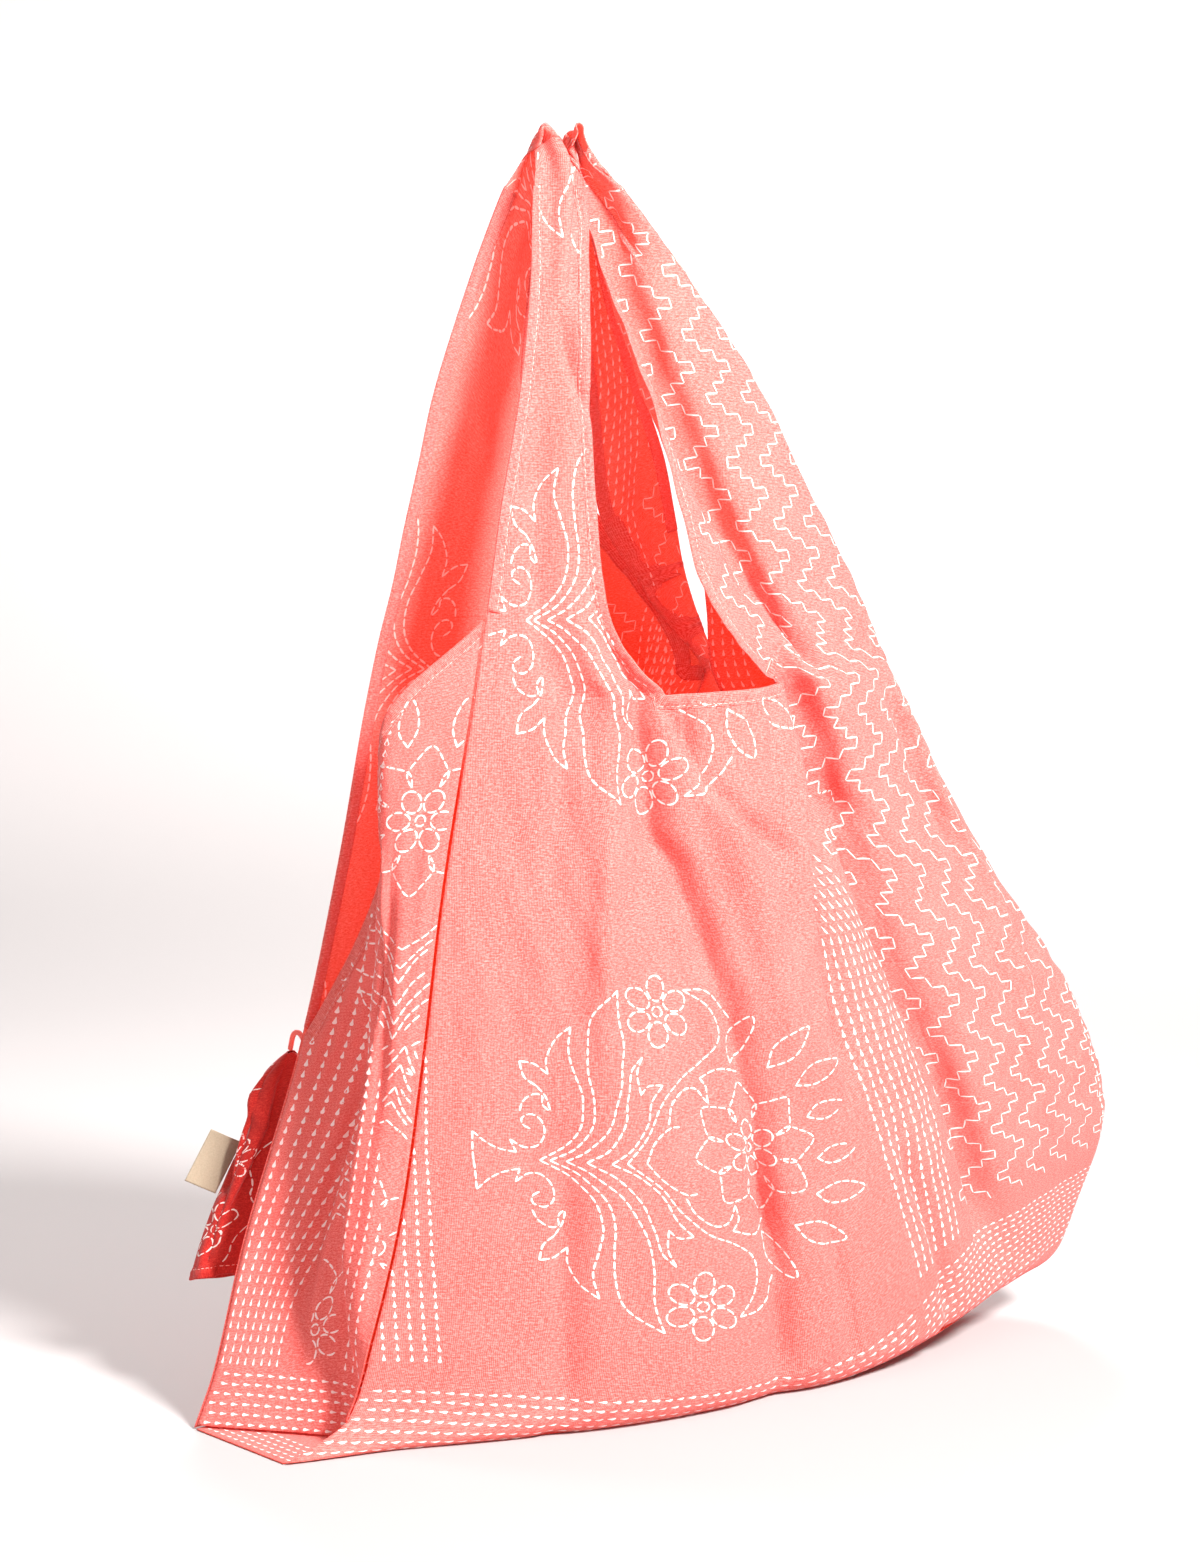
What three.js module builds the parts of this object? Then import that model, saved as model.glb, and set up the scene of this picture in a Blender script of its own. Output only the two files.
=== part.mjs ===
// A printed cloth shopping bag, stood on its base with its handles drawn up to one point.
// Millimetres, +Z up. The front faces -Y and the storage pouch hangs at the back left corner.
// The front and back panels each run up into two straps beside a long mouth. The left straps
// meet over the top and so do the right ones. A gusset joins the panels at each side up to
// the shoulder, and a base closes the bottom.
import * as THREE from 'three';

const cloth = 1.5;          // thickness of every cloth sheet
const seam = 0.35;          // clearance between two pieces that are sewn together
const floorClear = cloth / 2 + 0.05;
const handleTop = 700;      // height of the gathered handles
const gatherFrom = 668;     // the handles start to gather here
const mouthHeight = 398;    // the bottom hem of both mouths
const roll = 14;            // radius with which the panels turn under to the base
const endLift = 30;         // the right end of the base is drawn up off the floor
const liftFrom = 300;
const liftTo = 490;
const liftFade = 200;       // the lift has died out this far up the panels
const middle = { x: 217, y: 70 };

// The pieces are worked out in the bag's own tables, whose zero is the front left corner.
// These bring the middle of the bag's box to the origin.
const boxMiddle = { x: 236, y: 64.8 };

// Each row is a level section. The columns are where the edges of the front panel's parts lie:
// its left fold, the two sides of its mouth, its right side and its right seam.
const frontRows = [
  { z: 0, leftX: -38, leftY: -8, mouthLeftX: 175, mouthLeftY: -29, mouthRightX: 364, mouthRightY: 15, sideX: 482, sideY: 84 },
  { z: 8, leftX: -14, leftY: -3, mouthLeftX: 175, mouthLeftY: -29, mouthRightX: 363, mouthRightY: 13, sideX: 484, sideY: 83 },
  { z: 18, leftX: 4, leftY: 0, mouthLeftX: 174, mouthLeftY: -30, mouthRightX: 361, mouthRightY: 10, sideX: 486, sideY: 82 },
  { z: 60, leftX: 19, leftY: 0, mouthLeftX: 172, mouthLeftY: -32, mouthRightX: 348, mouthRightY: 1, sideX: 503, sideY: 79 },
  { z: 125, leftX: 36, leftY: 0, mouthLeftX: 170, mouthLeftY: -33, mouthRightX: 320, mouthRightY: -9, sideX: 519, sideY: 73 },
  { z: 200, leftX: 48, leftY: 0, mouthLeftX: 171, mouthLeftY: -30, mouthRightX: 294, mouthRightY: -12, sideX: 488, sideY: 65 },
  { z: 300, leftX: 62, leftY: 1, mouthLeftX: 178, mouthLeftY: -22, mouthRightX: 280, mouthRightY: -8, sideX: 414, sideY: 55 },
  { z: 398, leftX: 80, leftY: 2, mouthLeftX: 187, mouthLeftY: -12, mouthRightX: 268, mouthRightY: -2, sideX: 356, sideY: 45 },
  { z: 408, leftX: 82, leftY: 3, mouthLeftX: 177, mouthLeftY: -11, mouthRightX: 254, mouthRightY: -1, sideX: 351, sideY: 45 },
  { z: 428, leftX: 86, leftY: 5, mouthLeftX: 163, mouthLeftY: -8, mouthRightX: 234, mouthRightY: 2, sideX: 341, sideY: 44 },
  { z: 455, leftX: 92, leftY: 8, mouthLeftX: 154, mouthLeftY: -4, mouthRightX: 218, mouthRightY: 6, sideX: 328, sideY: 44 },
  { z: 500, leftX: 101, leftY: 13, mouthLeftX: 152, mouthLeftY: 3, mouthRightX: 208, mouthRightY: 13, sideX: 302, sideY: 43 },
  { z: 560, leftX: 115, leftY: 19, mouthLeftX: 153, mouthLeftY: 12, mouthRightX: 193, mouthRightY: 21, sideX: 269, sideY: 42 },
  { z: 620, leftX: 126, leftY: 28, mouthLeftX: 158, mouthLeftY: 23, mouthRightX: 173, mouthRightY: 30, sideX: 225, sideY: 43 },
  { z: 660, leftX: 130, leftY: 34, mouthLeftX: 161, mouthLeftY: 30, mouthRightX: 165, mouthRightY: 36, sideX: 193, sideY: 44 },
  { z: 682, leftX: 133, leftY: 37, mouthLeftX: 158, mouthLeftY: 34, mouthRightX: 163, mouthRightY: 38, sideX: 176, sideY: 44 },
  { z: 694, leftX: 136, leftY: 40, mouthLeftX: 154, mouthLeftY: 39, mouthRightX: 158, mouthRightY: 40, sideX: 169, sideY: 44 },
  { z: 700, leftX: 138, leftY: 46, mouthLeftX: 151, mouthLeftY: 46, mouthRightX: 155, mouthRightY: 46, sideX: 166, sideY: 46 },
];

// The same for the back panel, whose left edge is the back left fold. Above the bottom of the
// mouth its left part first lies behind its right part.
const backRows = [
  { z: 0, leftX: -55, leftY: 77, mouthLeftX: 150, mouthLeftY: 150, mouthRightX: 270, mouthRightY: 160, sideX: 438, sideY: 136 },
  { z: 30, leftX: -41, leftY: 82, mouthLeftX: 150, mouthLeftY: 153, mouthRightX: 268, mouthRightY: 162, sideX: 440, sideY: 136 },
  { z: 100, leftX: -17, leftY: 95, mouthLeftX: 154, mouthLeftY: 155, mouthRightX: 264, mouthRightY: 162, sideX: 426, sideY: 132 },
  { z: 200, leftX: 20, leftY: 104, mouthLeftX: 168, mouthLeftY: 149, mouthRightX: 262, mouthRightY: 152, sideX: 386, sideY: 125 },
  { z: 300, leftX: 42, leftY: 100, mouthLeftX: 206, mouthLeftY: 130, mouthRightX: 264, mouthRightY: 131, sideX: 332, sideY: 118 },
  { z: 375, leftX: 54, leftY: 94, mouthLeftX: 250, mouthLeftY: 110, mouthRightX: 266, mouthRightY: 109, sideX: 294, sideY: 112 },
  { z: 398, leftX: 58, leftY: 92, mouthLeftX: 263, mouthLeftY: 109, mouthRightX: 268, mouthRightY: 103, sideX: 281, sideY: 109 },
  { z: 425, leftX: 63, leftY: 89, mouthLeftX: 255, mouthLeftY: 110, mouthRightX: 243, mouthRightY: 99, sideX: 267, sideY: 105 },
  { z: 455, leftX: 70, leftY: 86, mouthLeftX: 231, mouthLeftY: 105, mouthRightX: 219, mouthRightY: 94, sideX: 254, sideY: 99 },
  { z: 485, leftX: 75, leftY: 82, mouthLeftX: 201, mouthLeftY: 97, mouthRightX: 197, mouthRightY: 88, sideX: 245, sideY: 93 },
  { z: 520, leftX: 82, leftY: 78, mouthLeftX: 166, mouthLeftY: 86, mouthRightX: 188, mouthRightY: 81, sideX: 234, sideY: 86 },
  { z: 560, leftX: 90, leftY: 74, mouthLeftX: 150, mouthLeftY: 76, mouthRightX: 181, mouthRightY: 74, sideX: 216, sideY: 79 },
  { z: 620, leftX: 108, leftY: 67, mouthLeftX: 150, mouthLeftY: 67, mouthRightX: 168, mouthRightY: 67, sideX: 191, sideY: 70 },
  { z: 660, leftX: 122, leftY: 62, mouthLeftX: 152, mouthLeftY: 61, mouthRightX: 160, mouthRightY: 61, sideX: 178, sideY: 62 },
  { z: 682, leftX: 130, leftY: 58, mouthLeftX: 151, mouthLeftY: 58, mouthRightX: 158, mouthRightY: 58, sideX: 171, sideY: 58 },
  { z: 694, leftX: 134, leftY: 55, mouthLeftX: 150, mouthLeftY: 55, mouthRightX: 157, mouthRightY: 55, sideX: 168, sideY: 54 },
  { z: 700, leftX: 137, leftY: 49, mouthLeftX: 150, mouthLeftY: 49, mouthRightX: 156, mouthRightY: 49, sideX: 166, sideY: 49 },
];

// The left gusset bulges out behind the front fold, turns in to a valley and runs back out.
const leftGussetRows = [
  { z: 0, lobeX: 14, lobeY: 14, valleyX: -10, valleyY: 38 },
  { z: 30, lobeX: 16, lobeY: 16, valleyX: 2, valleyY: 42 },
  { z: 60, lobeX: 12, lobeY: 20, valleyX: 8, valleyY: 48 },
  { z: 100, lobeX: 9, lobeY: 22, valleyX: 20, valleyY: 54 },
  { z: 150, lobeX: 15, lobeY: 22, valleyX: 34, valleyY: 58 },
  { z: 200, lobeX: 24, lobeY: 22, valleyX: 46, valleyY: 60 },
  { z: 300, lobeX: 31, lobeY: 22, valleyX: 56, valleyY: 62 },
  { z: 400, lobeX: 38, lobeY: 22, valleyX: 62, valleyY: 58 },
  { z: 450, lobeX: 50, lobeY: 22, valleyX: 70, valleyY: 50 },
];
const leftGussetHem = [
  { across: 0, z: 441 },
  { across: 0.32, z: 382 },
  { across: 0.6, z: 316 },
  { across: 0.85, z: 248 },
  { across: 1, z: 206 },
];

// The right gusset's back edge above its seam to the back panel, where it is a free hem.
const rightSeamTop = 340;
const rightGussetRows = [
  { z: rightSeamTop, backX: 313, backY: 113.6 },
  { z: 375, backX: 285, backY: 103 },
  { z: 398, backX: 270, backY: 96.5 },
  { z: 430, backX: 265, backY: 92 },
  { z: 480, backX: 256, backY: 86 },
];
const rightGussetHem = [
  { across: 0, z: 505 },
  { across: 0.5, z: 492 },
  { across: 1, z: 472 },
];

// Creases and valleys that drape across the front, each a soft trough along a slanting line.
const frontFolds = [
  { name: 'strap valley', fromZ: 640, fromX: 174, toZ: 350, toX: 290, deep: 11, wide: 15, fade: 45 },
  { name: 'side valley', fromZ: 370, fromX: 283, toZ: 80, toX: 414, deep: 12, wide: 20, fade: 70 },
  { name: 'mouth valley', fromZ: 370, fromX: 158, toZ: 30, toX: 250, deep: 8, wide: 20, fade: 70 },
  { name: 'left valley', fromZ: 330, fromX: 112, toZ: 60, toX: 108, deep: 4, wide: 22, fade: 80 },
  { name: 'side ridge', fromZ: 320, fromX: 392, toZ: 150, toX: 466, deep: -5, wide: 14, fade: 50 },
];
const backFolds = [
  { name: 'left valley', fromZ: 330, fromX: 112, toZ: 60, toX: 40, deep: -8, wide: 24, fade: 50 },
  { name: 'middle valley', fromZ: 320, fromX: 236, toZ: 50, toX: 205, deep: -10, wide: 26, fade: 50 },
  { name: 'right valley', fromZ: 310, fromX: 292, toZ: 60, toX: 350, deep: -9, wide: 24, fade: 50 },
];

const pouchRows = [
  { z: 68, x: -19, y: 134, halfWidth: 16, halfDepth: 10 },
  { z: 95, x: -12, y: 133, halfWidth: 15, halfDepth: 9 },
  { z: 130, x: 3, y: 131, halfWidth: 17, halfDepth: 10 },
  { z: 160, x: 13, y: 129, halfWidth: 16, halfDepth: 10 },
  { z: 180, x: 18, y: 127, halfWidth: 14, halfDepth: 9 },
  { z: 189, x: 21, y: 125, halfWidth: 8, halfDepth: 6 },
  { z: 194, x: 22, y: 123, halfWidth: 2.4, halfDepth: 2.2 },
];
const pouchCrease = { deep: 2.4, count: 3, twist: 2, fade: 30 };
const pouchSag = 3;         // the pouch's open rim hangs lower at one side

const mix = (a, b, t) => a + (b - a) * t;
const smooth = (t) => {
  const c = Math.min(1, Math.max(0, t));
  return c * c * (3 - 2 * c);
};

// A smooth curve through (xs, ys) that keeps its slopes from the neighbouring points.
function through(xs, ys, x) {
  const last = xs.length - 1;
  const c = Math.min(xs[last], Math.max(xs[0], x));
  let k = 0;
  while (k < last - 1 && c > xs[k + 1]) k += 1;
  const slope = (i) => {
    const a = Math.max(0, i - 1);
    const b = Math.min(last, i + 1);
    return (ys[b] - ys[a]) / (xs[b] - xs[a]);
  };
  const h = xs[k + 1] - xs[k];
  const t = (c - xs[k]) / h;
  const t2 = t * t;
  const t3 = t2 * t;
  return (2 * t3 - 3 * t2 + 1) * ys[k] + (t3 - 2 * t2 + t) * h * slope(k)
    + (3 * t2 - 2 * t3) * ys[k + 1] + (t3 - t2) * h * slope(k + 1);
}

function reader(rows, by) {
  const xs = rows.map((row) => row[by]);
  return (name, x) => through(xs, rows.map((row) => row[name]), x);
}

const front = reader(frontRows, 'z');
const back = reader(backRows, 'z');
const leftGusset = reader(leftGussetRows, 'z');
const rightGusset = reader(rightGussetRows, 'z');
const pouchAt = reader(pouchRows, 'z');

const lift = (x) => endLift * smooth((x - liftFrom) / (liftTo - liftFrom));

// How far a trough with this slanting middle line pushes a point in.
function trough(folds, x, z) {
  return folds.reduce((sum, fold) => {
    const along = (fold.fromZ - z) / (fold.fromZ - fold.toZ);
    const off = (x - mix(fold.fromX, fold.toX, along)) / fold.wide;
    const ends = smooth((fold.fromZ + fold.fade - z) / fold.fade) * smooth((z - fold.toZ + fold.fade) / fold.fade);
    return sum + fold.deep * Math.exp(-off * off) * ends;
  }, 0);
}

// Rounds the gathered top of each handle, which is lower at its two edges.
function gather(across, z, knots) {
  if (z <= gatherFrom) return z;
  const left = across <= knots[1];
  const start = left ? knots[0] : knots[2];
  const end = left ? knots[1] : knots[knots.length - 1];
  const t = Math.min(1, Math.max(0, (across - start) / (end - start)));
  return gatherFrom + (z - gatherFrom) * (0.7 + 0.3 * Math.sin(Math.PI * t) ** 0.6);
}

const frontKnots = [0, 0.31, 0.52, 0.9, 1];
const backKnots = [0, 0.46, 0.62, 1];

// The right seam lies a little past the side of the front, where it has turned to the back.
const pastSide = { x: 4, y: 20 };

function frontPlan(across, z) {
  const shrink = mix(1, 0.04, smooth((z - 480) / 190));
  const xs = [front('leftX', z), front('mouthLeftX', z), front('mouthRightX', z), front('sideX', z)];
  const ys = [front('leftY', z), front('mouthLeftY', z), front('mouthRightY', z), front('sideY', z)];
  xs.push(xs[3] + pastSide.x * shrink);
  ys.push(ys[3] + pastSide.y * shrink);
  return { x: through(frontKnots, xs, across), y: through(frontKnots, ys, across) };
}

function backPlan(across, z) {
  const xs = [back('leftX', z), back('mouthLeftX', z), back('mouthRightX', z), back('sideX', z)];
  const ys = [back('leftY', z), back('mouthLeftY', z), back('mouthRightY', z), back('sideY', z)];
  return { x: through(backKnots, xs, across), y: through(backKnots, ys, across) };
}

// Where a panel turns under: how far in from its widest line, at this height above its edge.
function turnUnder(level) {
  if (level >= roll) return 0;
  return roll - Math.sqrt(roll * roll - (roll - level) ** 2);
}

// The turned-under edge and the folds die out towards a panel's two seams.
const rollFade = { start: 0.1, end: 0.08 };
const foldFade = 0.06;
const foldSide = 0.25;      // how much of a fold's depth goes sideways
const foldIn = 0.97;        // and how much goes straight in
const depthWeight = 3;      // the bag is about three times as long as it is deep

function panelPoint(plan, folds, knots, across, level) {
  const edge = plan(across, 0);
  const z = level + lift(edge.x) * (1 - smooth(level / liftFade));
  const at = plan(across, z);
  const inward = turnUnder(level) * smooth(across / rollFade.start) * smooth((1 - across) / rollFade.end);
  const toX = middle.x - at.x;
  const toY = depthWeight * (middle.y - at.y);
  const far = Math.hypot(toX, toY);
  const push = trough(folds, at.x, z) * smooth(across / foldFade) * smooth((1 - across) / foldFade);
  return new THREE.Vector3(
    at.x + (inward * toX) / far + push * foldSide,
    at.y + (inward * toY) / far + push * foldIn,
    gather(across, z, knots),
  );
}

const frontPoint = (across, level) => panelPoint(frontPlan, frontFolds, frontKnots, across, level);
const backPoint = (across, level) => panelPoint(backPlan, backFolds, backKnots, across, level);

// A cloth sheet of even thickness on a grid of middle points. Cells where keep says no are holes.
// With closed, the last column meets the first.
function sheet(columns, rows, middleAt, { keep = () => true, closed = false, thick = cloth } = {}) {
  const wide = closed ? columns : columns + 1;
  const at = (i, j) => (i % wide) + j * wide;
  const points = [];
  for (let j = 0; j <= rows; j += 1) {
    for (let i = 0; i < wide; i += 1) points.push(middleAt(i, j));
  }
  const cells = [];
  for (let j = 0; j < rows; j += 1) {
    for (let i = 0; i < columns; i += 1) if (keep(i, j)) cells.push([i, j]);
  }
  const normals = points.map(() => new THREE.Vector3());
  cells.forEach(([i, j]) => {
    const ring = [at(i, j), at(i + 1, j), at(i + 1, j + 1), at(i, j + 1)];
    const a = points[ring[2]].clone().sub(points[ring[0]]);
    const b = points[ring[3]].clone().sub(points[ring[1]]);
    const n = a.cross(b);
    ring.forEach((k) => normals[k].add(n));
  });
  normals.forEach((n) => n.normalize());

  const position = [];
  [1, -1].forEach((side) => points.forEach((p, k) => {
    position.push(...p.clone().addScaledVector(normals[k], side * thick / 2).toArray());
  }));
  const under = points.length;
  const index = [];
  const quad = (a, b, c, d) => index.push(a, b, c, a, c, d);
  const kept = new Set(cells.map(([i, j]) => i + j * columns));
  const has = (i, j) => {
    const column = closed ? (i + columns) % columns : i;
    return column >= 0 && column < columns && j >= 0 && j < rows && kept.has(column + j * columns);
  };
  cells.forEach(([i, j]) => {
    const [a, b, c, d] = [at(i, j), at(i + 1, j), at(i + 1, j + 1), at(i, j + 1)];
    quad(a, b, c, d);
    quad(a + under, d + under, c + under, b + under);
    const rims = [[a, b, has(i, j - 1)], [b, c, has(i + 1, j)], [c, d, has(i, j + 1)], [d, a, has(i - 1, j)]];
    rims.forEach(([p, q, inside]) => {
      if (!inside) quad(p, p + under, q + under, q);
    });
  });
  return packed(position, index);
}

// Leaves out grid points that no face uses, such as those inside a hole.
function packed(position, index) {
  const used = new Map();
  const kept = [];
  const faces = index.map((k) => {
    if (!used.has(k)) {
      used.set(k, used.size);
      kept.push(position[3 * k], position[3 * k + 1], position[3 * k + 2]);
    }
    return used.get(k);
  });
  const geometry = new THREE.BufferGeometry();
  geometry.setAttribute('position', new THREE.Float32BufferAttribute(kept, 3));
  geometry.setIndex(faces);
  geometry.computeVertexNormals();
  return geometry;
}

const evenly = (from, to, count) => Array.from({ length: count + 1 }, (_, k) => mix(from, to, k / count));

// Spreads columns evenly between the knots, so that the sides of the mouth lie on columns.
function spread(knots, counts) {
  const out = [knots[0]];
  counts.forEach((count, k) => {
    for (let n = 1; n <= count; n += 1) out.push(mix(knots[k], knots[k + 1], n / count));
  });
  return out;
}

// The levels of the panels' grids: the turned-under bottom, the body, the mouth and the gather.
const bodyFrom = 18;
const bodyLevels = [floorClear, 4, 9, ...evenly(bodyFrom, mouthHeight, 17)];
const mouthLevels = [408, 418, 430, 445, 462, 480, 500, 522, 545, 568, 591, 614, 636, 654, gatherFrom];
const topLevels = [675, 682, 688, 693, 697, handleTop];
const panelLevels = [...bodyLevels, ...mouthLevels, ...topLevels];

function panel(point, columns, mouthFrom, mouthTo) {
  const rows = panelLevels.length - 1;
  const mouthBottom = bodyLevels.length - 1;
  const keep = (i, j) => j < mouthBottom || i < mouthFrom || i >= mouthTo;
  return sheet(columns.length - 1, rows, (i, j) => point(columns[i], panelLevels[j]), { keep });
}

function frontPanel() {
  const counts = [11, 6, 13, 2];
  const columns = spread(frontKnots, counts);
  return panel(frontPoint, columns, counts[0], counts[0] + counts[1]);
}

function backPanel() {
  const counts = [12, 5, 9];
  const columns = spread(backKnots, counts);
  // Seen from outside its columns run the other way, so they are reversed to face out.
  const turned = [...columns].reverse();
  return panel(backPoint, turned, counts[2], counts[2] + counts[1]);
}

const onBase = cloth + 2 * seam;
const gussetRows = 18;

const hemHeight = (hem, across) => through(hem.map((p) => p.across), hem.map((p) => p.z), across);

// Both gussets stop short of the panels' edges by about half a cloth and the seam clearance.
const leftGussetKnots = [0, 0.28, 0.58, 1];

function leftGussetPoint(across, up) {
  const top = hemHeight(leftGussetHem, across);
  const z = mix(onBase, top, up);
  const foot = Math.max(z, bodyFrom);
  const xs = [front('leftX', foot) - 1, leftGusset('lobeX', z), leftGusset('valleyX', z), back('leftX', z) + 0.5];
  const ys = [front('leftY', foot) + 1.5, leftGusset('lobeY', z), leftGusset('valleyY', z), back('leftY', z) - 1.6];
  return new THREE.Vector3(through(leftGussetKnots, xs, across), through(leftGussetKnots, ys, across), z);
}

function leftGussetSheet() {
  const columns = 18;
  return sheet(columns, gussetRows, (i, j) => leftGussetPoint(1 - i / columns, j / gussetRows));
}

const gussetBulge = { x: 6, y: 12 };

function rightGussetBack(z) {
  if (z > rightSeamTop) return { x: rightGusset('backX', z), y: rightGusset('backY', z) };
  return { x: back('sideX', z) + 1.1, y: back('sideY', z) - 1.4 };
}

function rightGussetPoint(across, up) {
  const top = hemHeight(rightGussetHem, across);
  const bottom = onBase + 1.4 * seam + lift(mix(frontPlan(1, 0).x, back('sideX', 0), across));
  const z = mix(bottom, top, up);
  const start = frontPlan(1, z);
  const end = rightGussetBack(z);
  const bow = Math.sin(Math.PI * across);
  return new THREE.Vector3(
    mix(start.x - 0.4, end.x, across) + gussetBulge.x * bow,
    mix(start.y + 1.4, end.y, across) + gussetBulge.y * bow,
    z,
  );
}

function rightGussetSheet() {
  const columns = 12;
  return sheet(columns, gussetRows, (i, j) => rightGussetPoint(i / columns, j / gussetRows));
}

// The base lies flat on the floor between the panels' turned-under edges.
function baseSheet() {
  const columns = 22;
  const rows = 8;
  const inset = seam + 1.75;
  return sheet(columns, rows, (i, j) => {
    const across = i / columns;
    const front0 = frontPoint(across, floorClear);
    const back0 = backPoint(across, floorClear);
    const span = Math.hypot(back0.x - front0.x, back0.y - front0.y);
    const t = mix(inset / span, 1 - inset / span, j / rows);
    const x = mix(front0.x, back0.x, t);
    return new THREE.Vector3(x, mix(front0.y, back0.y, t), cloth / 2 + lift(x));
  });
}

// A small pouch of the same cloth, creased along its length, open below and tied at the top.
function pouchSheet() {
  const around = 24;
  const rows = 14;
  const low = pouchRows[0].z;
  const high = pouchRows[pouchRows.length - 1].z;
  return sheet(around, rows, (i, j) => {
    const up = j / rows;
    const z = mix(low, high, 1 - (1 - up) ** 1.4);
    const turn = (2 * Math.PI * i) / around;
    const fade = smooth((high - z) / pouchCrease.fade);
    const crease = pouchCrease.deep * fade * Math.cos(pouchCrease.count * turn + up * pouchCrease.twist);
    const width = pouchAt('halfWidth', z) + crease;
    const depth = pouchAt('halfDepth', z) + crease * 0.6;
    const sag = pouchSag * (1 - up) ** 2 * Math.sin(turn);
    return new THREE.Vector3(
      pouchAt('x', z) + width * Math.cos(turn),
      pouchAt('y', z) + depth * Math.sin(turn),
      z - sag,
    );
  }, { closed: true, thick: 1.2 });
}

// The label's long side leans from its top corner, and its right half lies behind the pouch.
function labelSheet() {
  const corner = { x: -18, y: 142.2, z: 150 };
  const long = { size: 32, lean: THREE.MathUtils.degToRad(240) };
  const short = { size: 20, lean: THREE.MathUtils.degToRad(-27) };
  const columns = 4;
  const rows = 5;
  return sheet(columns, rows, (i, j) => {
    const across = short.size * (i / columns);
    const down = long.size * (1 - j / rows);
    return new THREE.Vector3(
      corner.x + across * Math.cos(short.lean) + down * Math.cos(long.lean),
      corner.y - 1.5 * Math.sin(Math.PI * (i / columns)),
      corner.z + across * Math.sin(short.lean) + down * Math.sin(long.lean),
    );
  }, { thick: 1 });
}

// The narrow loop that ties the pouch to the back left corner, just under the gusset's hem.
function tieLoop() {
  const route = new THREE.CatmullRomCurve3([
    new THREE.Vector3(23.7, 107.3, 203),
    new THREE.Vector3(23, 112.5, 206),
    new THREE.Vector3(22.2, 118.5, 204),
    new THREE.Vector3(22, 123, 195.2),
  ]);
  const section = new THREE.Shape().absarc(0, 0, 1.6, 0, 2 * Math.PI);
  return new THREE.ExtrudeGeometry(section, { steps: 8, curveSegments: 8, extrudePath: route });
}

const coral = { color: 0xf58f86, roughness: 0.85, metalness: 0 };
const cream = { color: 0xf1e6d2, roughness: 0.8, metalness: 0 };

const pieces = [
  { name: 'front_panel', make: frontPanel, look: coral },
  { name: 'back_panel', make: backPanel, look: coral },
  { name: 'left_gusset', make: leftGussetSheet, look: coral },
  { name: 'right_gusset', make: rightGussetSheet, look: coral },
  { name: 'base_panel', make: baseSheet, look: coral },
  { name: 'storage_pouch', make: pouchSheet, look: coral },
  { name: 'pouch_label', make: labelSheet, look: cream },
  { name: 'pouch_tie', make: tieLoop, look: coral },
];

const bag = new THREE.Group();
pieces.forEach(({ name, make, look }) => {
  const piece = new THREE.Mesh(make(), new THREE.MeshStandardMaterial(look));
  piece.name = name;
  bag.add(piece);
});
bag.position.set(-boxMiddle.x, -boxMiddle.y, 0);

export default bag;
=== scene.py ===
import math
import bpy
import numpy as np
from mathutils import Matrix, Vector
from mathutils.kdtree import KDTree


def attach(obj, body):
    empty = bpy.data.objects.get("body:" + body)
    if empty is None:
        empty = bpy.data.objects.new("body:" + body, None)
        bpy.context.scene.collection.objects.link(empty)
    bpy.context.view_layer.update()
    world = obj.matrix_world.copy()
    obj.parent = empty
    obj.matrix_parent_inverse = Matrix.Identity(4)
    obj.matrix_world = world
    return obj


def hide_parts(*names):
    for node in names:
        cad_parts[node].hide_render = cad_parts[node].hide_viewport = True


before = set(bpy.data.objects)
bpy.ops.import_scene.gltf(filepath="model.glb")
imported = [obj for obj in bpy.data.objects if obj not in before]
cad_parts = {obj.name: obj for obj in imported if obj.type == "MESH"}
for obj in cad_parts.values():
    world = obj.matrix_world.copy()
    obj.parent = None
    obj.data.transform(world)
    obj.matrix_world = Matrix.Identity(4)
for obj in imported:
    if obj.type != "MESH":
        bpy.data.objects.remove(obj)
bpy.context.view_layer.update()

mm = 0.001
boxMiddle = np.array((236.0, 64.8, 0.0))   # the tables below start at the front left corner


def addObject(name, data, place=(0, 0, 0), aim=None):
    made = bpy.data.objects.new(name, data)
    bpy.context.scene.collection.objects.link(made)
    made.location = place
    if aim:
        made.rotation_euler = (Vector(aim) - Vector(place)).to_track_quat("-Z", "Y").to_euler()
    return made


# ---- camera: at the photograph's angle, a 102 mm lens about 2.4 m away
cameraAt = {"place": (-1.1155, -2.1819, 0.680), "aim": (-0.0635, -0.0248, 0.3463), "lens": 102.0}
cameraData = bpy.data.cameras.new("camera")
cameraData.lens = cameraAt["lens"]
bpy.context.scene.camera = addObject("camera", cameraData, cameraAt["place"], cameraAt["aim"])
bpy.context.scene.view_settings.view_transform = "Standard"
bpy.context.scene.view_settings.look = "None"
print("camera set")


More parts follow.
